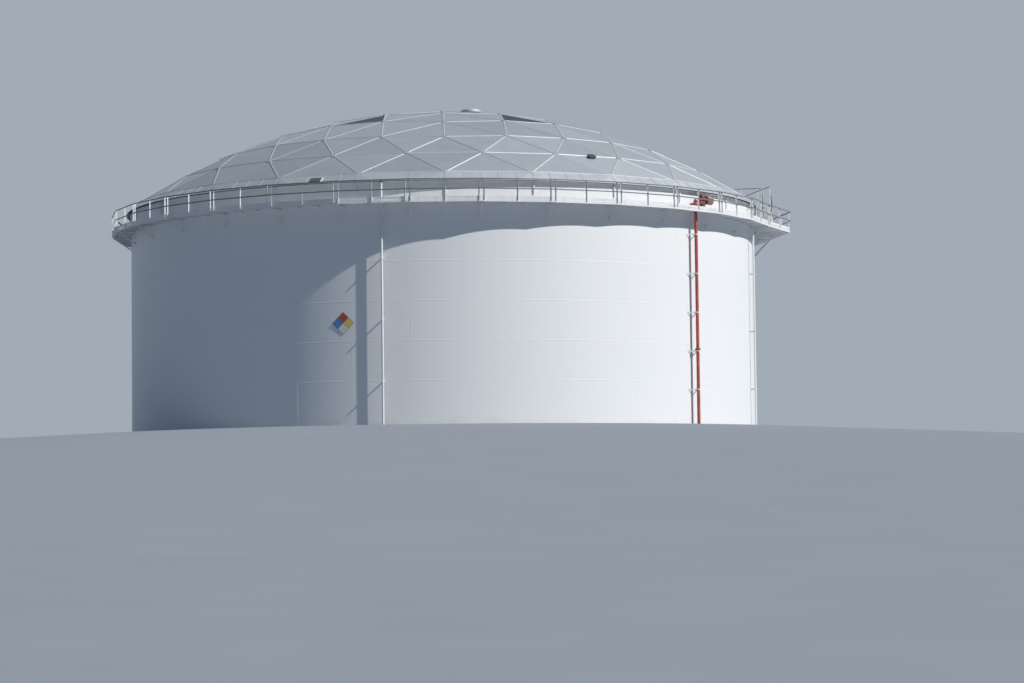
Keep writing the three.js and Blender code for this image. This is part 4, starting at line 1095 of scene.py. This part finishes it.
def flangePair(piece, place, radius):
    half = flanges["half"]
    profile = [(radius, -half), (radius, half)] + [(radius * share, h) for share, h in flanges["neck"]]
    for axis in (-up, up):
        piece.turned(place + axis * flanges["gap"], axis, profile)
    lean = up.orthogonal().normalized()
    for j in range(flanges["bolts"]):
        turn = Matrix.Rotation(2 * pi * j / flanges["bolts"], 3, up)
        bolt = place + turn @ lean * radius * flanges["boltCircle"]
        piece.tube([bolt - up * flanges["boltReach"], bolt + up * flanges["boltReach"]], flanges["bolt"], 6)


def buildForks(name, azimuth, r):
    piece = Piece()
    q = risers["radius"]
    inner, outer, half = fork["collar"]
    for z in fork["heights"]:
        place = polar(azimuth, r, z)
        for across in (-fork["spread"], fork["spread"]):
            foot = offWall(azimuth, fork["padOut"], z) + along(azimuth) * across
            head = place + (foot - place).normalized() * (q + fork["gap"])
            piece.bar(foot, head, *fork["size"])
            piece.pad(azimuth, foot, fork["pad"])
        piece.collar(place, up, q + inner, q + outer, -half, half)
    piece.make("riserForks_" + name, "white_paint", [white], bevel=0.002)


def buildRiser(name, azimuth):
    r = tank["radius"] + risers["standOff"]
    buildForks(name, azimuth, r)
    head, bend, side = tank["deckZ"] + risers["head"], risers["bend"], along(azimuth)
    runZ, middleZ = head + risers["run"], head + chamber["rise"]
    piece = Piece()

    def at(across, z, out=0.0):
        return polar(azimuth, r + out, z) + side * across

    elbow = [at(bend - bend * cos(t), runZ - bend + bend * sin(t)) for t in spread(0, pi / 2, 6)]
    piece.tube([at(0, 0)] + elbow + [at(risers["runEnd"], runZ)], risers["radius"], 24, outward(azimuth))
    for z, radius in risers["flanges"]:
        flangePair(piece, at(0, z), radius)
    piece.look = 1
    piece.turned(at(pot["across"], head - pot["drop"]), up, pot["body"], pot["sides"])
    piece.turned(at(pot["across"], head - pot["plateDrop"]), up, pot["plate"], pot["sides"])
    for bolt in spread(0, 360, pot["bolts"])[:-1]:
        piece.bolt(at(pot["across"], head - pot["boltDrop"]) + polar(bolt, pot["boltCircle"], 0), up, pot["bolt"])
    start, end, radius = pot["neck"]
    piece.tube([at(start, middleZ), at(end, middleZ)], radius, 20)
    piece.look = 2
    middle = at(chamber["across"], middleZ)
    piece.turned(middle, side, chamber["body"], chamber["sides"])
    inner, outer, half = chamber["band"]
    for step in chamber["bands"]:
        piece.collar(middle + side * step, side, inner, outer, -half, half, chamber["sides"])
    piece.look = 0
    across, out, radius = risers["vent"]
    piece.tube([at(across, runZ), at(across, runZ, out)], radius, 8)
    piece.turned(at(across, runZ, out), outward(azimuth), risers["ventCap"], 20)
    tieZ = runZ - risers["tieDrop"]
    piece.tube([at(0, tieZ), offWall(azimuth, tank["clear"], tieZ)], risers["tie"], 16)
    piece.make("foamRiser_" + name, "red_paint", [red, darkRed, chamberPaint], ["foam_riser_" + name])


buildPipes()
for riserName, azimuth in risers["azimuths"].items():
    buildRiser(riserName, azimuth)
print("pipes built")

# Diamond plate in four coloured quarters, with a thin dark border and no figures
placard = {"azimuth": -17.57, "z": 5.29, "half": 0.548, "standOff": 0.016, "border": 0.022, "depth": (-0.005, 0.003),
           "quarterDepth": (0.0025, 0.005), "draw": 0.985, "blocks": (-0.26, 0.26), "block": (0.08, 0.06),
           "blockEnd": 0.004, "bolt": 0.012, "boltOut": 0.005}
quarters = {(0, 1): enamel("quarterRed", rgb(0.45, 0.05, 0.03), rgb(0.5, 0.13, 0.09)),
            (-1, 0): enamel("quarterBlue", rgb(0.05, 0.22, 0.52), rgb(0.12, 0.30, 0.56)),
            (1, 0): enamel("quarterYellow", rgb(0.78, 0.55, 0.06), rgb(0.80, 0.62, 0.20)),
            (0, -1): enamel("quarterWhite", rgb(0.78, 0.78, 0.76), rgb(0.66, 0.66, 0.63))}


def buildPlacard():
    azimuth, half = placard["azimuth"], placard["half"]
    side, front = along(azimuth), outward(azimuth)
    middle = offWall(azimuth, placard["standOff"], placard["z"])
    piece = Piece()

    def diamond(x, z, size, depths):
        corners = [(x, z - size), (x + size, z), (x, z + size), (x - size, z)]
        piece.loft([[middle + side * a + up * b + front * depth for a, b in corners] for depth in depths])

    diamond(0, 0, half, placard["depth"])
    away = half / 2 * placard["draw"]
    for look, (x, z) in enumerate(quarters, 1):
        piece.look = look
        diamond(x * away, z * away, half / 2 - placard["border"] / 2, placard["quarterDepth"])
    piece.look = 0
    for lift in placard["blocks"]:
        foot = offWall(azimuth, tank["clear"], placard["z"] + lift)
        piece.bar(foot, middle - front * placard["blockEnd"] + up * lift, *placard["block"])
        piece.bolt(middle + front * placard["boltOut"] + up * lift, front, placard["bolt"])
    black = enamel("borderBlack", rgb(0.02, 0.02, 0.022), rgb(0.05, 0.05, 0.05))
    piece.make("hazardDiamond", "placard_paint", [black] + list(quarters.values()), ["hazard_plate"])


buildPlacard()
print("placard built")

# Pale ground, level under the tank and falling away gently, so that the low camera sees the foot
ground = {"hub": 0.01, "drop": 0.002, "level": 24.0, "fall": 0.06, "far": 900.0, "sides": 180,
          "dark": rgb(0.25, 0.28, 0.32), "pale": rgb(0.29, 0.32, 0.36)}


def buildGround():
    floorLook = Look("paleFloor")
    grain = floorLook.noise(0.4, 5.0)
    floorLook.wear(floorLook.blend(grain, ground["dark"], ground["pale"]), 0.85 + 0.1 * grain)
    level, far, sides = ground["level"], ground["far"], ground["sides"]
    profile = [(ground["hub"], -ground["drop"]), (level, -ground["drop"]), (far, (level - far) * ground["fall"])]
    verts = [tuple(polar(360 * j / sides, r, z)) for r, z in profile for j in range(sides)]
    faces = []
    for a in range(0, len(verts) - sides, sides):
        for j in range(sides):
            k = (j + 1) % sides
            faces.append((a + j, a + k, a + sides + k, a + sides + j))
    mesh = bpy.data.meshes.new("groundSheet")
    mesh.from_pydata(verts, [], faces)
    mesh.materials.append(floorLook.material)
    floor = newObject("groundSheet", mesh)


buildGround()

# A small warm sun on the right in front, and a bluish sky that pales towards the backdrop
light = {"azimuth": 64.0, "elevation": 40.2, "sun": 3.95, "warmth": (1.0, 0.985, 0.955), "soft": 0.8, "away": 100,
         "sky": rgb(0.084, 0.127, 0.204), "backdrop": rgb(0.36, 0.41, 0.47), "fade": (0.1, 0.9)}


def buildLight():
    sun = bpy.data.lights.new("studioSun", "SUN")
    sun.energy = light["sun"]
    sun.angle = radians(light["soft"])
    sun.color = light["warmth"]
    lamp = newObject("studioSun", sun)
    e = radians(light["elevation"])
    towards = outward(light["azimuth"]) * cos(e) + up * sin(e)
    lamp.rotation_euler = towards.to_track_quat("Z", "Y").to_euler()
    lamp.location = towards * light["away"]
    world = bpy.data.worlds.new("studioSky")
    world.use_nodes = True
    sky = Nodes(world.node_tree)
    depth = sky.parts(sky.node("ShaderNodeTexCoord", {}, [], "Generated"))[1]
    fade = sky.ramp(depth, *light["fade"], "SMOOTHSTEP")
    sky.fill(sky.tree.nodes["Background"], {"Color": sky.blend(fade, light["sky"], light["backdrop"])})
    bpy.context.scene.world = world
    bpy.context.scene.view_settings.view_transform = "Standard"


buildLight()

# The camera stands low in front, 170 m away, with its lens turned up to the tank. Heading is in
# degrees, pitch and roll in radians, the focal length in pixels of the photo's width
view = {"place": (-1.268, -170.81, -5.961), "heading": 1.65, "pitch": 0.06625, "roll": 0.01189, "focal": 3169.07,
        "width": 1024.0, "sensor": 36.0, "clip": (0.5, 3000)}


def buildCamera():
    lens = bpy.data.cameras.new("photoView")
    lens.sensor_width = view["sensor"]
    lens.lens = view["focal"] / view["width"] * view["sensor"]
    lens.clip_start, lens.clip_end = view["clip"]
    camera = newObject("photoView", lens)
    heading = radians(view["heading"])
    level = Vector((sin(heading), cos(heading), 0))
    forward = level * cos(view["pitch"]) + up * sin(view["pitch"])
    right = forward.cross(up).normalized()
    top = right.cross(forward)
    turned = right * cos(view["roll"]) + top * sin(-view["roll"])
    lifted = forward.cross(turned) * -1
    basis = Matrix((turned, lifted, -forward)).transposed().to_4x4()
    camera.matrix_world = Matrix.Translation(Vector(view["place"])) @ basis
    bpy.context.scene.camera = camera


buildCamera()
print("stage set")
